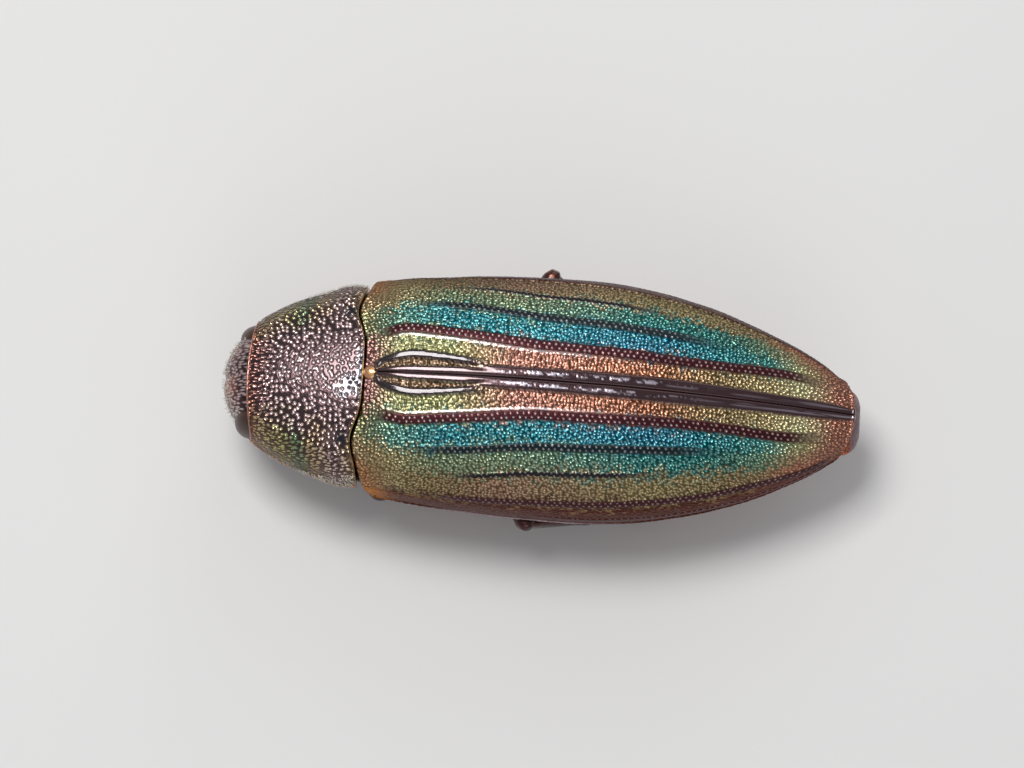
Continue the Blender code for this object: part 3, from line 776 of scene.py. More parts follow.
def wing_case(side, material):
    case = CaseGrid(side)
    s, y, arc = case.s, case.y, case.arc
    rib, height, spots, shine = case_ribs(case)
    groove, row_spots, space = scutellar_space(case)
    rib = rib * (1 - 0.5 * groove)
    height = height * (1 - groove)
    painted_glint = sutural_painted_glints(case)
    band = case_bands(case)
    bowl, wall, grain = case_pits(case)
    between = (1 - rib) * (1 - shine)
    flank = step(5.05, 5.35, band)
    height = height + between * (1 - 0.7 * flank) * (WALL_HEIGHT * wall - PIT_DEPTHS["wing_case"] * bowl)
    height = height - PIT_DEPTHS["ribs"] * spots - 0.009 * row_spots
    height = height + 0.008 * painted_glint
    height = height + 0.02 * (clouds(y / 0.9, arc / 0.5, case.seed + 3) - 0.5)
    # Rounded edges at the base and suture, and a fine bead round the side and tip
    height = height - 0.06 * (1 - step(0.0, 0.07, y - y[:1])) ** 2
    height = height - 0.02 * (1 - step(0.0, 0.025, arc))
    to_margin = np.minimum(arc[:, -1:] - arc, (1 - s) * (ELYTRA_TIP - ELYTRA_BASE))
    bead = 1 - step(0.03, 0.07, np.abs(to_margin - 0.05))
    height = height + BEAD_HEIGHT * bead
    # A painted highlight also runs along part of the side bead
    painted_glint = np.maximum(painted_glint, 0.5 * bead * span_share((0.12, 0.2, 0.4, 0.6), s))
    height = height - 0.05 * (1 - step(0.0, 0.05, to_margin))

    normals = grid_normals(case.points)
    depth = 0.5 - 0.26 * step(0.8, 1, s)
    outer = case.points + normals * height[..., None]
    inner = coarse(case.points - normals * depth[..., None]).copy()
    for grid in (outer, inner):
        grid[..., 0] = np.maximum(grid[..., 0], 0) + SUTURE_GAP
    marks = {
        "along": s + 0 * arc,
        "band": band,
        "rib": rib,
        "dots": 0.42 * spots,
        "space": space,
        "painted_glint": painted_glint,
        "grain": grain,
        "pit": bowl * (1 - 0.5 * wall) * (1 - flank) + 0.45 * flank,
        "shine": shine,
    }
    mirror = side == "right"
    piece = shell(f"{side}_wing_case", outer, inner, material, (f"{side}_elytron",), marks, mirror)


# Thorax shield


def shield_look():
    look = Look("shield")
    aside = look.mark("aside")
    share = look.mark("share")
    wander = look.spread(look.noise(1.6, 3.0), 0.3, 0.7, -0.12, 0.12)
    aside = look.math("ADD", aside, wander)
    # The pits are painted in pale lit tints over the shield's own rose, gold and green, on the dark ground:
    # painted highlights in the pits
    middle = look.ramp(share, [(0.0, ROSE), (0.3, PALE_ROSE), (1.0, PALE_ROSE)])
    tones = (COPPER, PALE_GOLD, LIME, SAGE, PALE_GOLD, PALE_ROSE, PALE_GOLD)
    flank = look.ramp(share, list(zip((0.0, 0.12, 0.35, 0.5, 0.62, 0.85, 1.0), tones)))
    beside = look.spread(aside, 0.25, 0.5)
    lit = look.mix(beside, middle, flank)
    dark = look.mix(beside, look.mix(look.noise(1.2, 3.0), PLUM, DARK_PLUM), DARK_BROWN)
    ground = look.mix(0.04, dark, lit)
    colour = look.mix(look.spread(look.mark("pit"), 0.15, 0.8), ground, lit)
    # The patch behind the middle and the strip along the base are painted a pale ground with dark pits: a
    # painted highlight, with a stronger coat there too
    gloss_and_highlight = look.mark("gloss_and_highlight")
    painted_glare = look.mix(look.spread(look.mark("pit"), 0.2, 0.6), tint(196, 186, 190), DARK_PLUM)
    colour = look.mix(gloss_and_highlight, colour, painted_glare)
    # The hollows before the hind corners are painted dark blue-grey: painted shade in them
    colour = look.mix(look.mark("hollow_shade"), colour, tint(34, 40, 52))
    edge = look.mark("edge")
    colour = look.mix(edge, colour, look.mix(look.spread(share, 0.4, 0.6), RIM_ROSE, RIM_GOLD))
    look.set(base_color=colour, metallic=0.9, roughness=look.spread(edge, 0, 1, 0.20, 0.34))
    look.set(coat_weight=look.spread(gloss_and_highlight, 0, 1, 0.35, 1.0), coat_roughness=0.10)
    look.set(normal=look.bump(look.noise(26.0, 3.0, 0.6), 0.008, 0.5))
    return look.material


def prothorax_surface(share, turn, top):
    """Points of the prothorax above or below its side edge. turn is -1 at the right edge, 1 at the left."""
    width = smooth(PRONOTUM_HALF_WIDTH, share)
    side = smooth(PRONOTUM_SIDE, share)
    across, reach = superellipse(np.abs(turn) * math.pi / 2, SHIELD_POWER)
    front = PRONOTUM_FRONT + FRONT_BOW * across**2
    hind = PRONOTUM_BASE - SHIELD_BOW * bow(PRONOTUM_HALF_WIDTH[-1][1] * across) * top
    y = front + share * (hind - front)
    if top:
        z = side + (smooth(PRONOTUM_TOP, share) - side) * reach
        x = width * across
    else:
        z = side - (side - smooth(BELLY_HEIGHT, y)) * reach
        x = (width - BREAST_LEDGE * reach) * across
        y = y + CHIN_SETBACK * (1 - share) * reach
    return np.stack((np.sign(turn) * x, y, z), axis=-1)


def shield_top(share, turn):
    return prothorax_surface(share, turn, True)


def shield_pits(share, turn, y, arc):
    """Round pits on the disc, that crowd and lengthen towards the front and sides."""
    waver = 0.5 * clouds(y / 0.5, arc / 0.5, 21)
    near, _, _ = scatter(y / 0.14 + waver, arc / 0.14 + waver, 22, 0.75)
    disc = 1 - step(0.17, 0.41, near)
    near, _, _ = scatter(y / 0.15 + waver, arc / 0.085, 25)
    crowd = 1 - step(0.08, 0.48, near)
    crowded = np.clip(1 - step(0.02, 0.34, share) + step(0.42, 0.72, np.abs(turn)), 0, 1)
    return disc * (1 - crowded) + crowd * crowded


def shield_gloss_and_highlight(y, arc, from_base):
    """A patch behind the middle, and a strip along the base, that get a stronger coat and a painted
    highlight.
    """
    from_patch = np.hypot((y + 5.15) / 0.55, (arc - 0.35) / 0.50)
    patch = step(0.45, 0.75, 1.25 - from_patch * 0.8 - 0.5 * clouds(y / 0.22, arc / 0.22, 41))
    strip = span_share((0.03, 0.06, 0.12, 0.2), from_base) * span_share((-0.75, -0.5, 0.5, 0.75), arc)
    return np.maximum(patch, strip)


def shield(material):
    rows, columns = counts(160, 400)
    share, turn = two_grids(np.linspace(0, 1, rows + 1), np.linspace(-1, 1, columns + 1))
    base = shield_top(share, turn)
    arc = arc_across(base)
    arc = arc - arc[:, -1:] / 2
    out, y = np.abs(base[..., 0]), base[..., 1]
    from_front = share * (PRONOTUM_BASE - PRONOTUM_FRONT)
    from_base = (1 - share) * (PRONOTUM_BASE - PRONOTUM_FRONT)
    edge = np.clip(1 - step(0.07, 0.10, from_front) + 1 - step(0.03, 0.05, from_base), 0, 1)
    pits = shield_pits(share, turn, y, arc) * (1 - edge)
    height = -PIT_DEPTHS["shield"] * pits
    height = height + 0.025 * (clouds(y / 0.8, arc / 0.8, 4) - 0.5)
    for hollow_out, hollow_y, radius, deep in SHIELD_HOLLOWS:
        height = height - deep * bell(np.hypot(out - hollow_out, y - hollow_y) / radius)
    groove = bell((from_front - 0.12) / 0.03) + 0.7 * bell((from_base - 0.07) / 0.03)
    height = height + 0.012 * edge - 0.035 * groove
    round_front, round_base = 1 - step(0.0, 0.10, from_front), 1 - step(0.0, 0.05, from_base)
    height = height - 0.10 * round_front**2 - 0.04 * round_base**2
    bead = 1 - step(0.03, 0.08, np.abs(arc[:, -1:] - np.abs(arc) - 0.06))
    height = height + 0.02 * bead
    worn = 0.7 * step(0.3, 0.7, clouds(y / 0.5, arc / 0.16, 43)) * step(0.5, 0.6, share)
    edge = np.maximum(edge * (1 - worn), 0.7 * bead)

    normals = grid_normals(base)
    depth = 0.10 + 0.22 * step(0, 0.4, share)
    inner = coarse(base - normals * depth[..., None])
    outer = base + normals * height[..., None]
    outer[..., 1] += HIND_LIP * step(0.9, 1, share)
    marks = {
        "share": share,
        "aside": np.abs(turn),
        "pit": pits,
        "edge": edge,
        "gloss_and_highlight": shield_gloss_and_highlight(y, arc, from_base) * (1 - edge),
        "hollow_shade": 0.85 * bell(np.hypot(out - 1.78, y + 5.25) / 0.20),
    }
    piece = shell("thorax_shield", outer, inner, material, ("pronotum",), marks)


SCUTELLUM_CENTRE = (0, -4.52, 4.60)
SCUTELLUM_RADII = (0.24, 0.26, 0.24)


def scutellum():
    look = Look("scutellum")
    colour = look.mix(look.noise(4.0), PALE_GOLD, ORANGE)
    look.set(base_color=colour, metallic=1.0, roughness=0.3, coat_weight=0.3)
    look.set(normal=look.bump(look.noise(20.0, 3.0), 0.01, 0.6))
    (_, middle_y, _), radii = SCUTELLUM_CENTRE, SCUTELLUM_RADII
    rings = ball_rings(SCUTELLUM_CENTRE, radii, 24, 40)
    pointed = 1 - np.abs(rings[..., 0]) / radii[0]
    rings[..., 1] += 0.05 * pointed * (rings[..., 1] > middle_y)
    plate = Bundle()
    plate.add(rings)
    plate.piece("scutellum_plate", look.material, ("scutellum",), "bronze")


# Head

HEAD_CENTRE = np.array((0, -7.42, 2.72))
HEAD_RADII = np.array((1.42, 1.08, 1.36))
MOUTH_NARROWING = 0.34
MOUTH_POWER = 1.6  # how late the narrowing comes, on the way down
EYE_CENTRE = np.array((1.16, -7.74, 2.86))
EYE_RADII = np.array((0.34, 0.40, 0.72)) * 0.985  # a little smaller than the CAD's
EYE_TURN = math.radians(24)
EYE_LEAN = math.radians(10)


def head_look():
    look = Look("head")
    ground = look.ramp(look.noise(1.4, 3.0), [(0.3, DARK_PLUM), (0.55, PLUM), (0.75, BROWN)])
    # The pits are painted pale rose on the dark ground: painted highlights in them
    colour = look.mix(look.spread(look.mark("pit"), 0, 1, 0.0, 0.8), ground, PALE_ROSE)
    look.set(base_color=colour, metallic=0.9, roughness=0.30, coat_weight=0.3, coat_roughness=0.12)
    look.set(normal=look.bump(look.noise(26.0, 3.0, 0.6), 0.008, 0.5))
    return look.material


def head_base(tilt, turn):
    """The head capsule: tilt goes from 0 at the mouth to 1 at the crown, turn round it from the back."""
    angle = 0.05 + tilt * (math.pi - 0.1)
    spin = math.pi / 2 + turn * 2 * math.pi
    x, y, z = np.sin(angle) * np.cos(spin), np.sin(angle) * np.sin(spin), -np.cos(angle)
    narrow = 1 - MOUTH_NARROWING * np.clip(-z, 0, None) ** MOUTH_POWER
    return HEAD_CENTRE + np.stack((x * narrow, y, z), axis=-1) * HEAD_RADII


def head(material):
    rows, columns = int(150 * DETAIL), int(320 * DETAIL)
    tilt, turn = two_grids(np.linspace(0, 1, rows), np.linspace(0, 1, columns + 1)[:-1])
    points = head_base(tilt, turn)
    x = points[..., 0]
    ahead = np.clip(-(points - HEAD_CENTRE)[..., 1], 0, None)
    across, upward = x / 0.075, points[..., 2] / 0.15
    near, _, _ = scatter(across, upward + 0.4 * clouds(across, upward, 5), 31)
    pits = (1 - step(0.05, 0.5, near)) * step(0.1, 0.4, ahead)
    groove = bell(x / 0.16) * step(0.3, 0.8, ahead)
    outward = unit((points - HEAD_CENTRE) / HEAD_RADII**2)
    capsule = Bundle()
    capsule.add(points - outward * (PIT_DEPTHS["head"] * pits + 0.05 * groove)[..., None])
    capsule.piece("head_capsule", material, ("head",), "bronze", {"pit": pits})


def eye_look():
    look = Look("eye")
    colour = look.mix(look.noise(2.0, 3.0), tint(34, 20, 14), tint(78, 50, 38))
    look.set(base_color=colour, roughness=0.36, specular_ior_level=0.3, coat_weight=0.12)
    look.set(normal=look.bump(look.cells(26.0, 0.25), 0.01, 0.5))
    return look.material


def eyes(material):
    for side, sign in SIDES.items():
        centre = EYE_CENTRE * (sign, 1, 1)
        lean = Matrix.Rotation(-sign * EYE_TURN, 3, "Z") @ Matrix.Rotation(-sign * EYE_LEAN, 3, "Y")
        ball = Bundle()
        ball.add(turned(ball_rings(centre, EYE_RADII, 60, 90), centre, lean))
        ball.piece(f"{side}_compound_eye", material, (f"{side}_eye",), "eye")


# Underside

LEG_ROOM = (0.40, 0.20)  # round a thigh and a shin
NECK_START = ELYTRA_BASE - 0.5
NECK_DRAWN_IN = 0.20
BELLY_END = 7.86
ABDOMEN_JOINTS = (-0.42, 1.85, 3.70, 5.30, 6.70)
BELLY_PARTS = ("metathorax", "abdomen_1", "abdomen_2", "abdomen_3", "abdomen_4", "abdomen_5")


def underside_look():
    look = Look("underside")
    colour = look.ramp(look.noise(0.8, 3.0), [(0.3, BROWN), (0.5, COPPER), (0.7, GOLD)])
    # The pits are painted darker: painted shade in them
    deep = look.mix(0.8, colour, DARK_RED, "MULTIPLY")
    colour = look.mix(look.spread(look.mark("pit"), 0, 1, 0.0, 0.7), colour, deep)
    # The neck, seen in the gap between shield and wing cases, is painted black: painted shade
    colour = look.mix(look.mark("neck"), colour, BLACK)
    look.set(base_color=colour, metallic=0.95, roughness=0.30, coat_weight=0.2)
    look.set(normal=look.bump(look.noise(20.0, 3.0, 0.6), 0.01, 0.5))
    return look.material


def leave_room(points, start, end, radius):
    """Moves the points of an underside up, out of the way of a round bar."""
    axis = (end - start)[:2]
    share = np.clip(((points[..., :2] - start[:2]) @ axis) / (axis @ axis), -0.05, 1.05)
    nearest = start + share[..., None] * (end - start)
    aside = np.linalg.norm(points[..., :2] - nearest[..., :2], axis=-1)
    top = nearest[..., 2] + np.sqrt(np.clip(radius**2 - aside**2, 0, None))
    bottom = nearest[..., 2] - radius
    moved = (aside < radius) & (points[..., 2] < top) & (points[..., 2] > bottom - 0.2)
    points[..., 2] = np.where(moved, top, points[..., 2])


def leave_room_for_legs(points, pairs):
    for side, sign in SIDES.items():
        for pair in pairs:
            hip, knee, ankle, _ = (p * (sign, 1, 1) for p in leg_points(side, pair))
            leave_room(points, hip, knee, LEG_ROOM[0])
            leave_room(points, knee, ankle, LEG_ROOM[1])


def under_plate(name, base, outer, lid, material, nodes, marks):
    """A plate of the underside, closed above by a lid that is never below it."""
    inner = coarse(base).copy()
    inner[..., 2] = np.maximum(lid, coarse(outer)[..., 2] + 0.04)
    shell(name, outer, inner, material, nodes, marks)


def breast(material):
    rows, columns = counts(100, 240)
    share, turn = two_grids(np.linspace(0, 1, rows + 1), np.linspace(1, -1, columns + 1))
    base = prothorax_surface(share, turn, False)
    arc = arc_across(base)
    x, y = base[..., 0], base[..., 1]
    near, _, _ = scatter(y / 0.17, arc / 0.15, 51)
    middle = bell(x / 0.42)
    pits = (1 - step(0.08, 0.45, near)) * (1 - 0.5 * middle)
    height = -PIT_DEPTHS["underside"] * pits + 0.05 * middle * step(0.1, 0.5, share)
    seam = bell((np.abs(x) - 0.55 - 0.5 * share) / 0.04) * step(0.2, 0.4, share)
    height = height - 0.05 * seam
    outer = base + grid_normals(base) * height[..., None]
    leave_room_for_legs(outer, ("fore",))
    lid = coarse(smooth(PRONOTUM_SIDE, share)) + 0.06
    under_plate("breast_plate", base, outer, lid, material, ("prosternum",), {"pit": pits, "neck": 0 * pits})


def belly_section(y, turn, width, low):
    """Points of the underside behind the breast, that wide and with its middle that low."""
    side = smooth(MARGIN_HEIGHT, share_along(y)) - BELLY_SEAM
    across, down = superellipse(np.abs(turn) * math.pi / 2, BELLY_POWER)
    return np.stack((np.sign(turn) * width * across, y, side - (side - low) * down), axis=-1)


def belly_surface(y, turn):
    return belly_section(y, turn, back_half_width(y) - BELLY_LEDGE, smooth(BELLY_HEIGHT, y))


def belly_lid(y, turn):
    """How high the belly's blocks reach under the wing cases."""
    s = share_along(y)
    side = smooth(MARGIN_HEIGHT, s) - BELLY_SEAM
    top = smooth(SUTURE_HEIGHT, s) - 0.72 - 0.1 * s
    across, _ = superellipse(np.abs(turn) * math.pi / 2, BELLY_POWER)
    up = np.clip(1 - across**ARCH_POWER, 0, None) ** (1 / ARCH_POWER)
    return side + (top - side) * up - 0.12


def belly_seams(x, y):
    """The depth of the hind thorax's seams: one in the middle, one on each side, and two pairs across."""
    on_thorax = 1 - step(-0.5, -0.4, y)
    depth = 0.05 * bell(x / 0.035) * on_thorax
    depth = depth + 0.06 * bell((x - 1.9 - 0.12 * (y + 2.5)) / 0.035) * on_thorax
    for seam_y in (-3.05, -1.35):
        depth = depth + 0.07 * bell((y - seam_y - 0.12 * (x - 1) ** 2) / 0.045) * step(0.3, 0.6, x)
    return depth


def belly(material):
    """The hind thorax and the belly's five plates, under the wing cases."""
    rows, columns = counts(380, 200)
    y, turn = two_grids(np.linspace(NECK_START, BELLY_END, rows + 1), np.linspace(1, -1, columns + 1))
    neck = 1 - step(ELYTRA_BASE - 0.05, ELYTRA_BASE + 0.05, y)
    drawn_in = 1 - step(ELYTRA_BASE, ELYTRA_BASE + 0.5, y)
    width = back_half_width(y) - BELLY_LEDGE - NECK_DRAWN_IN * drawn_in
    base = belly_section(y, turn, width, smooth(BELLY_HEIGHT, y) + 0.14 * neck)
    arc = arc_across(base)
    near, _, _ = scatter(y / 0.17 + 0.3 * clouds(y / 0.6, arc / 0.6, 8), arc / 0.15, 61)
    pits = 1 - step(0.06, 0.42, near)
    height = -PIT_DEPTHS["underside"] * pits
    # Plates overlap like tiles: each ends in a small step down to the next
    plate = np.searchsorted(ABDOMEN_JOINTS, y[:, 0])
    starts = np.array((ELYTRA_BASE - 1, *ABDOMEN_JOINTS))[plate][:, None]
    ends = np.array((*ABDOMEN_JOINTS, 8.0))[plate][:, None]
    height = height - 0.06 * (1 - step(0, 0.35, y - starts)) - 0.06 * (1 - step(0, 0.05, ends - y))
    pits = pits * step(0.05, 0.12, ends - y)
    height = height - belly_seams(np.abs(base[..., 0]), y)
    outer = base + grid_normals(base) * height[..., None]
    leave_room_for_legs(outer, ("mid", "hind"))
    # The neck mark is where the underside is painted black as shade in the gap
    marks = {"pit": pits, "neck": 1 - step(0.2, 0.7, y - ELYTRA_BASE)}
    lid = belly_lid(coarse(y), coarse(turn))
    under_plate("belly", base, outer, lid, material, BELLY_PARTS, marks)


# Along the tail plate: y, half width, and its lowest and highest
TAIL_SHAPE = (
    (7.84, 0.98, 2.05, 2.86),
    (8.10, 0.92, 2.12, 2.80),
    (8.30, 0.82, 2.24, 2.72),
    (8.43, 0.66, 2.36, 2.66),
    (8.50, 0.44, 2.46, 2.59),
)


def tail_look():
    look = Look("tail")
    pale = look.mix(look.noise(3.0, 3.0), tint(112, 94, 96), tint(156, 138, 138))
    bronze = look.mix(look.noise(3.0, 3.0), BROWN, COPPER)
    end = look.mark("end")
    # The pits are painted dark brown: painted shade in them
    colour = look.mix(look.mark("pit"), look.mix(end, bronze, pale), DARK_BROWN)
    look.set(base_color=colour, metallic=look.spread(end, 0, 1, 0.95, 0.3), roughness=0.34)
    look.set(normal=look.bump(look.noise(18.0, 3.0, 0.6), 0.012, 0.6))
    return look.material


def tail(material):
    rows, around = int(120 * DETAIL), int(300 * DETAIL)
    at = np.linspace(TAIL_SHAPE[0][0], TAIL_SHAPE[-1][0], rows)
    width, low, high = (smooth([(row[0], row[k]) for row in TAIL_SHAPE], at) for k in (1, 2, 3))
    path = np.stack((0 * at, at, (low + high) / 2), axis=1)
    rings = tube_rings(path, width, (high - low) / 2, around)
    x, y, z = (rings[..., k] for k in range(3))
    near, _, _ = scatter(y / 0.10, x / 0.10 + 20 * (z > 2.5), 71)
    end = step(8.18, 8.40, y)
    pits = (1 - step(0.12, 0.42, near)) * (1 - 0.7 * end)
    outward = unit(rings - path[:, None])
    plate = Bundle()
    plate.add(rings - outward * (PIT_DEPTHS["tail"] * pits)[..., None])
    plate.piece("tail_plate", material, ("pygidium",), "tail", {"pit": 0.8 * pits, "end": end})


# Legs

LEGS = {
    "fore": ((0.75, -5.45, 1.00), (1.75, -6.30, 1.50), (1.22, -7.00, 0.50), (0.55, -7.68, 0)),
    "mid": ((1.00, -3.72, 0.90), (2.62, -4.20, 1.80), (2.15, -3.70, 0.50), (1.75, -2.15, 0)),
    "hind": ((0.86, -1.02, 0.88), (3.31, -0.22, 2.36), (2.62, 1.60, 0.50), (2.16, 3.50, 0)),
}
KNEES_SPREAD = {("right", "hind"): (3.50, 0.10, 2.44)}
HIP_RADII = {"fore": (0.42, 0.42, 0.36), "mid": (0.42, 0.42, 0.34), "hind": (0.72, 0.42, 0.32)}
THIGH_RADII = [(0, 0.10), (0.03, 0.2), (0.2, 0.33), (0.45, 0.37), (0.75, 0.32), (0.93, 0.27), (1, 0.12)]
SHIN_RADII = [(0, 0.08), (0.04, 0.14), (0.2, 0.155), (0.7, 0.165), (0.93, 0.2), (1, 0.12)]
KNEE_END = 0.16  # how far the thigh's end reaches past the knee
FOOT_START = 0.38  # past the ankle
# The foot's five parts: where each ends, as a share of the foot, and its half width and half height
FOOT_PARTS = (
    (0.28, 0.17, 0.15),
    (0.46, 0.18, 0.13),
    (0.62, 0.19, 0.12),
    (0.76, 0.20, 0.12),
    (1, 0.11, 0.075),
)
LOBE_HEIGHT = 0.055  # half of it


def leg_points(side, pair):
    """A leg's hip, knee, ankle and toe, as if it were a left one."""
    hip, knee, ankle, toe = (np.array(p, float) for p in LEGS[pair])
    return hip, np.array(KNEES_SPREAD.get((side, pair), knee), float), ankle, toe


def leg_look():
    look = Look("leg")
    colour = look.ramp(look.noise(0.9, 3.0), [(0.3, DARK_RED), (0.55, DARK_BROWN), (0.75, BROWN)])
    look.set(base_color=colour, metallic=0.9, roughness=0.26, coat_weight=0.4, coat_roughness=0.1)
    look.set(normal=look.bump(look.cells(8.0), 0.03, 0.5))
    return look.material


def spurs(made, ankle, down, ahead, across):
    """Two small spines at the shin's end."""
    thick = np.linspace(0.045, 0.008, 8)
    for sign in (-1, 1):
        start, end = ankle + across * sign * 0.1, ankle + across * sign * 0.13 + down * 0.22 + ahead * 0.1
        made.tube(along_path(start, end, 8), thick, thick, 10)


def foot(made, ankle, toe, ahead):
    """A slanting first part, three with lobes underneath, and a slim last one."""
    start = np.array((*ankle[:2], 0)) + ahead * FOOT_START
    begin = ankle + (0, 0, -0.1)
    swell = smooth([(0, 0.35), (0.15, 0.55), (0.8, 1.0), (1, 0.55)], np.linspace(0, 1, 12))
    round_off = np.sqrt(1 - np.linspace(-0.97, 0.97, 10) ** 2)
    for far, width, height in FOOT_PARTS:
        end = start + (toe - start) * far
        if far < 1:
            path = along_path(begin, end + (0, 0, height) + ahead * 0.03, 12)
        else:
            path = along_path(begin, end + (0, 0, 0.13), 12)
        made.tube(path, width * swell, height * swell, 24, 2.3)
        if far < 1:
            sole = end + (0, 0, LOBE_HEIGHT)
            lobe = along_path(sole - ahead * 0.12, sole + ahead * 0.06, 10)
            made.tube(lobe, width * 1.08 * round_off, LOBE_HEIGHT * np.ones(10), 24, 2.6)
        begin = end + (0, 0, height * 1.1)


def claws(made, toe, ahead, across):
    share = np.linspace(0, 1, 14)[:, None]
    thin = 0.055 * (1 - share[:, 0]) + 0.006
    root = toe + (0, 0, 0.14) - ahead * 0.06
    for sign in (-1, 1):
        tip = toe + ahead * 0.25 + across * sign * 0.18 + (0, 0, 0.012)
        arch = np.sin(share * math.pi) * (across * sign * 0.06 + np.array((0, 0, 0.08)))
        made.tube(root * (1 - share) + tip * share + arch, thin, thin, 14)


def leg(side, pair, material):
    hip, knee, ankle, toe = leg_points(side, pair)
    reach, down, ahead = unit(knee - hip), unit(ankle - knee), unit((toe - ankle) * (1, 1, 0))
    across = np.array((ahead[1], -ahead[0], 0))
    made = Bundle(mirror=side == "right")
    made.add(ball_rings(hip, HIP_RADII[pair], 20, 40))
    share = np.linspace(0, 1, 40)
    radii = smooth(THIGH_RADII, share)
    made.tube(along_path(hip, knee + reach * KNEE_END, 40), radii, radii * 0.9, 36, 2.2)
    radii = smooth(SHIN_RADII, share)
    made.tube(along_path(knee, ankle - (0, 0, 0.04), 40), radii * 0.92, radii * 1.05, 28, 2.5)
    spurs(made, ankle, down, ahead, across)
    foot(made, ankle, toe, ahead)
    claws(made, toe, ahead, across)
    names = tuple(f"{side}_{pair}_{part}" for part in ("coxa", "femur", "tibia", "tarsus"))
    made.piece(f"{side}_{pair}_leg", material, names, "leg")


# Feelers and mouth

FEELER_ROUTE = np.array(
    ((0.48, -8.02, 1.95), (0.52, -8.00, 1.34), (0.60, -7.90, 0.90), (0.82, -7.62, 0.84), (1.05, -7.25, 1.0))
)
FEELER_MARKS = (0, 0.14, 0.20, 0.27, 0.37, 0.47, 0.56, 0.65, 0.74, 0.83, 0.92, 1.0)  # where its parts end
LIP_CENTRE = (0, -7.98, 1.44)
LIP_RADII = (0.39, 0.25, 0.24)
PALP_PARTS = (((0.34, -7.62, 1.2), (0.5, -7.86, 1.0)), ((0.5, -7.88, 0.99), (0.42, -8.0, 0.86)))


def feeler_look():
    look = Look("feeler")
    colour = look.mix(look.noise(2.0, 3.0), BLACK, DARK_RED)
    look.set(base_color=colour, metallic=0.6, roughness=0.34, coat_weight=0.3)
    look.set(normal=look.bump(look.noise(14.0, 3.0), 0.012, 0.6))
    return look.material


def feeler_point(share):
    lengths = np.linalg.norm(np.diff(FEELER_ROUTE, axis=0), axis=1)
    marks = np.append(0, np.cumsum(lengths)) / lengths.sum()
    return np.stack([smooth(list(zip(marks, route)), share) for route in FEELER_ROUTE.T], axis=1)


def feelers(material):
    """Each of eleven parts: a long one, two small round ones, and eight that are saw-toothed on one side."""
    swell = smooth([(0, 0.3), (0.12, 0.45), (0.8, 1.0), (0.95, 0.7), (1, 0.3)], np.linspace(0, 1, 12))
    for side in SIDES:
        made = Bundle(mirror=side == "right")
        for number, (start, end) in enumerate(zip(FEELER_MARKS, FEELER_MARKS[1:])):
            path = feeler_point(np.linspace(start, end, 12))
            saw = number > 2
            tooth = 0.15 if saw else 0.10
            level, _ = ring_frame(path)
            path = path + level * (tooth * 0.45 * (swell - 0.3))[:, None] * saw
            made.tube(path, tooth * swell, 0.085 * swell, 20)
        made.piece(f"{side}_feeler", material, (f"{side}_antenna",), "feeler")


def mouth(material):
    lip = Bundle()
    rings = ball_rings(LIP_CENTRE, LIP_RADII, 24, 40)
    rings[..., 1] += 0.08 * bell(rings[..., 0] / 0.12) * (rings[..., 1] < LIP_CENTRE[1])
    lip.add(rings)
    lip.piece("lip", material, ("labrum",), "bronze")
    share = np.linspace(0, 1, 24)
    x, y, z = 0.42 - 0.36 * share**1.6, -7.60 - 0.28 * np.sin(share * 2.2), 1.40 - 0.36 * share
    path = np.stack((x, y, z), axis=1)
    thick = smooth([(0, 0.12), (0.15, 0.2), (0.6, 0.15), (1, 0.02)], share)
    palp = 0.055 * smooth([(0, 0.5), (0.3, 1), (0.8, 1), (1, 0.4)], np.linspace(0, 1, 10))
    for side in SIDES:
        jaw = Bundle(mirror=side == "right")
        jaw.tube(path, thick, thick * 0.9, 24)
        for start, end in PALP_PARTS:
            jaw.tube(along_path(start, end, 10), palp, palp, 14)
        jaw.piece(f"{side}_jaw", material, (f"{side}_mandible",), "feeler")


# Hairs

HAIR_RADIUS = 0.011
HAIR_LEVELS = ((0.0, 1.0), (0.35, 0.85), (0.7, 0.55))  # along a hair, and how thick it is there
HAIR_PATCH = 0.003  # each hair's patch on the bake's map
# How deep each coat's hairs are rooted, how much they differ in direction, their lengths, and their slot
COATS = {
    "shield_hairs": (0.01, 0.25, (0.05, 0.10), "bronze"),
    "face_hairs": (0.02, 0.25, (0.05, 0.11), "bronze"),
    "belly_hairs": (0.03, 0.20, (0.09, 0.17), "underside"),
}


def hair_look():
    look = Look("hair")
    look.set(base_color=look.mix(look.noise(3.0), tint(176, 166, 148), tint(228, 222, 210)))
    look.set(normal=look.bump(look.noise(30.0), 0.003, 0.4), roughness=0.42)
    return look.material


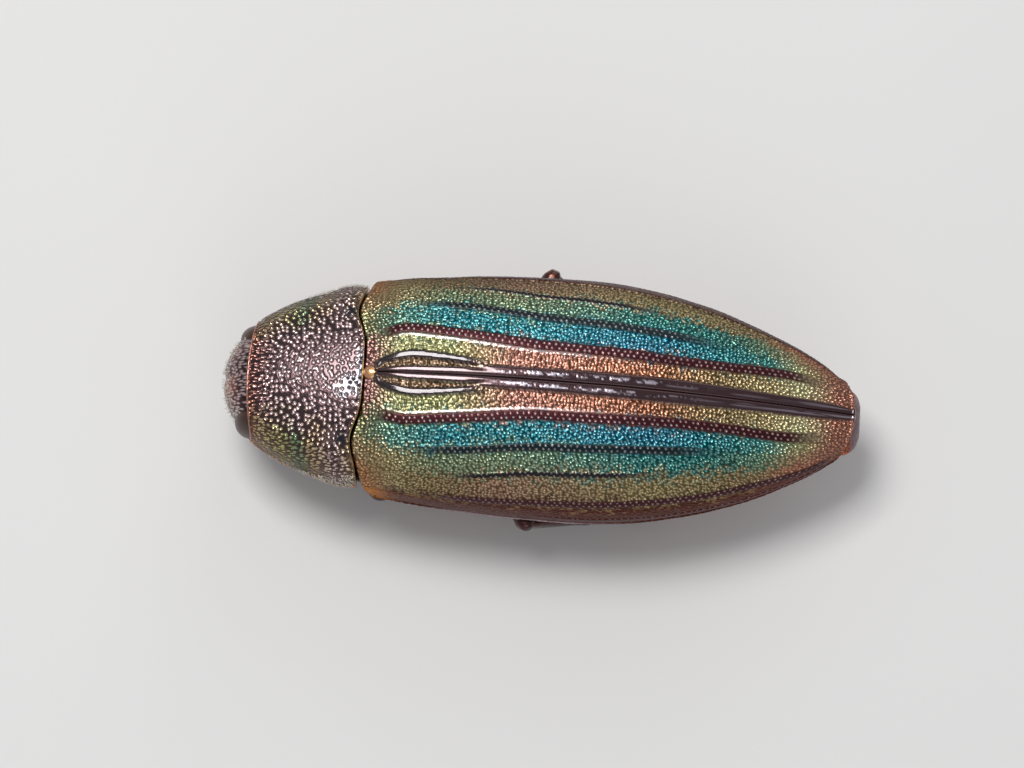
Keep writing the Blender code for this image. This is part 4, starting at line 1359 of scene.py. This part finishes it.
def hair_piece(name, roots, outward, lie, lengths, on_map, material):
    """Fine curved three-sided hairs as one mesh. on_map is each root's place on the bake's map."""
    aside = unit(np.cross(outward, lie))
    turn = np.linspace(0, 2 * math.pi, 3, endpoint=False)
    points = []
    for share, thin in HAIR_LEVELS:
        rise = outward * (share * (1 - 0.45 * share)) + lie * share * (0.35 + 0.65 * share)
        middle = roots + rise * lengths[:, None]
        spin = [middle + HAIR_RADIUS * thin * (aside * math.cos(a) + outward * math.sin(a)) for a in turn]
        points.append(np.stack(spin, axis=1))
    tip = roots + (outward * 0.55 + lie) * lengths[:, None]
    vertices = np.concatenate((*points, tip[:, None]), axis=1)
    one = []
    for low in (0, 3):
        one += [(low + k, low + (k + 1) % 3, low + 3 + (k + 1) % 3, low + 3 + k) for k in range(3)]
    one += [(6 + k, 6 + (k + 1) % 3, 9) for k in range(3)] + [(2, 1, 0)]
    patch = np.array([(k % 3 / 3, 0.3 * (k // 3)) for k in range(9)] + [(0.5, 1.0)]) * HAIR_PATCH
    faces, corners = [], []
    for i, place in enumerate(on_map):
        faces += [[10 * i + k for k in face] for face in one]
        corners += [place + patch[list(face)] for face in one]
    made = add_piece(name, vertices.reshape(-1, 3), faces, material, (), None, np.concatenate(corners))


def coat(name, surface, a, b, lie, on_map, random, material):
    """Hairs rooted at places (a, b) of a surface, that lie more or less one way."""
    sink, ruffle, lengths, slot = COATS[name]
    roots, outward = surface_at(surface, a, b)
    lie = unit(lie + random.normal(0, ruffle, (len(a), 3)))
    length = random.uniform(*lengths, len(a))
    on_map = np.stack(on_map, axis=1) * 0.98 + 0.005
    hair_piece(name, roots - outward * sink, outward, lie, length, on_map, material)


def shield_hairs(random, material):
    """Along the sides and hind corners of the thorax shield."""
    count = int(500 * DETAIL)
    share = random.uniform(0, 1, count) ** 0.4 * 0.97 + 0.02
    turn = random.choice((-1, 1), count) * (1 - (0.05 + 0.2 * share**3) * random.uniform(0, 1, count))
    lie = np.stack((0.3 * np.sign(turn), np.full(count, 0.75), np.full(count, -0.25)), axis=1)
    coat("shield_hairs", shield_top, share, turn, lie, ((turn + 1) / 2, share), random, material)


def face_hairs(random, material):
    count = int(800 * DETAIL)
    tilt = random.uniform(0.12, 0.70, count)
    turn = 0.5 + random.uniform(-0.21, 0.21, count)
    lie = np.array((0, -0.6, -0.7))
    coat("face_hairs", head_base, tilt, turn, lie, (turn, tilt), random, material)


def belly_hairs(random, material):
    count = int(4200 * DETAIL)
    y = random.uniform(-4.4, 7.6, count)
    turn = random.uniform(-0.97, 0.97, count)
    on_map = ((turn + 1) / 2, (y + 4.6) / 12.6)
    coat("belly_hairs", belly_surface, y, turn, np.array((0, 1, 0)), on_map, random, material)


def hairs():
    material = hair_look()
    random = np.random.default_rng(7)
    for make in (shield_hairs, face_hairs, belly_hairs):
        make(random, material)


# Camera, floor and light

VIEW_ELEVATION = math.radians(76.8)
VIEW_ROLL = math.radians(3.65)
VIEW_DISTANCE = 150.0
SIGHT_WIDTH = 27.34  # how wide the view is at the beetle
AIM = Vector((0, 0, 2.6))
AIM_OFFSET = Vector((-0.80, 0.467))  # of the view's middle from the aim, to the right and up
# Soft lights: the direction towards each, its distance, its size and its radiance
LIGHTS = {
    "key": ((-0.23, -0.24, 0.94), 160, 60, 17.0),
    "left_fill": ((0.9, 0.2, 0.55), 200, 120, 1.1),
    "right_fill": ((-0.9, 0.3, 0.5), 200, 120, 1.1),
}


def camera():
    toward = Vector((math.cos(VIEW_ELEVATION), 0, math.sin(VIEW_ELEVATION)))
    level = Vector((0, 1, 0))
    upright = toward.cross(level)
    right = level * math.cos(VIEW_ROLL) + upright * math.sin(VIEW_ROLL)
    up = toward.cross(right)
    data = bpy.data.cameras.new("camera")
    data.sensor_width = 36
    data.lens = VIEW_DISTANCE * data.sensor_width / SIGHT_WIDTH
    data.clip_start, data.clip_end = 0.001, 10
    made = bpy.data.objects.new("camera", data)
    centre = AIM + right * AIM_OFFSET.x + up * AIM_OFFSET.y
    place = Matrix.Translation((centre + toward * VIEW_DISTANCE) * MM)
    made.matrix_world = place @ Matrix((right, up, toward)).transposed().to_4x4()
    bpy.context.scene.collection.objects.link(made)
    bpy.context.scene.camera = made


def softbox(name, toward, distance, size, radiance):
    """A square soft light that faces the beetle from the given direction."""
    data = bpy.data.lights.new(name, "AREA")
    data.shape = "SQUARE"
    data.size = size * MM
    data.energy = radiance * math.pi * (size * MM) ** 2
    made = bpy.data.objects.new(name, data)
    toward = Vector(toward).normalized()
    made.location = (AIM + toward * distance) * MM
    made.rotation_euler = toward.to_track_quat("Z", "Y").to_euler()
    bpy.context.scene.collection.objects.link(made)


def studio():
    world = bpy.data.worlds.new("studio")
    world.use_nodes = True
    background = world.node_tree.nodes["Background"]
    background.inputs["Color"].default_value = (0.86, 0.92, 1.0, 1)
    background.inputs["Strength"].default_value = 0.46
    bpy.context.scene.world = world
    bpy.context.scene.view_settings.view_transform = "Standard"
    for name, light in LIGHTS.items():
        softbox(name, *light)


def pale_floor():
    look = Look("floor")
    look.set(base_color=look.mix(look.noise(0.05), (0.62, 0.60, 0.58), (0.66, 0.64, 0.62)), roughness=0.85)
    mesh = bpy.data.meshes.new("floor")
    reach = 600 * MM
    corners = ((-reach, -reach, 0), (reach, -reach, 0), (reach, reach, 0), (-reach, reach, 0))
    mesh.from_pydata(corners, [], [(0, 1, 2, 3)])
    mesh.materials.append(look.material)
    floor = bpy.data.objects.new("floor", mesh)
    bpy.context.scene.collection.objects.link(floor)


camera()
studio()
pale_floor()
case_look = wing_case_look()
for side in SIDES:
    wing_case(side, case_look)
shield(shield_look())
scutellum()
head(head_look())
eyes(eye_look())
below = underside_look()
breast(below)
belly(below)
tail(tail_look())
leg_finish = leg_look()
for side in SIDES:
    for pair in LEGS:
        leg(side, pair, leg_finish)
dark = feeler_look()
feelers(dark)
mouth(dark)
hairs()
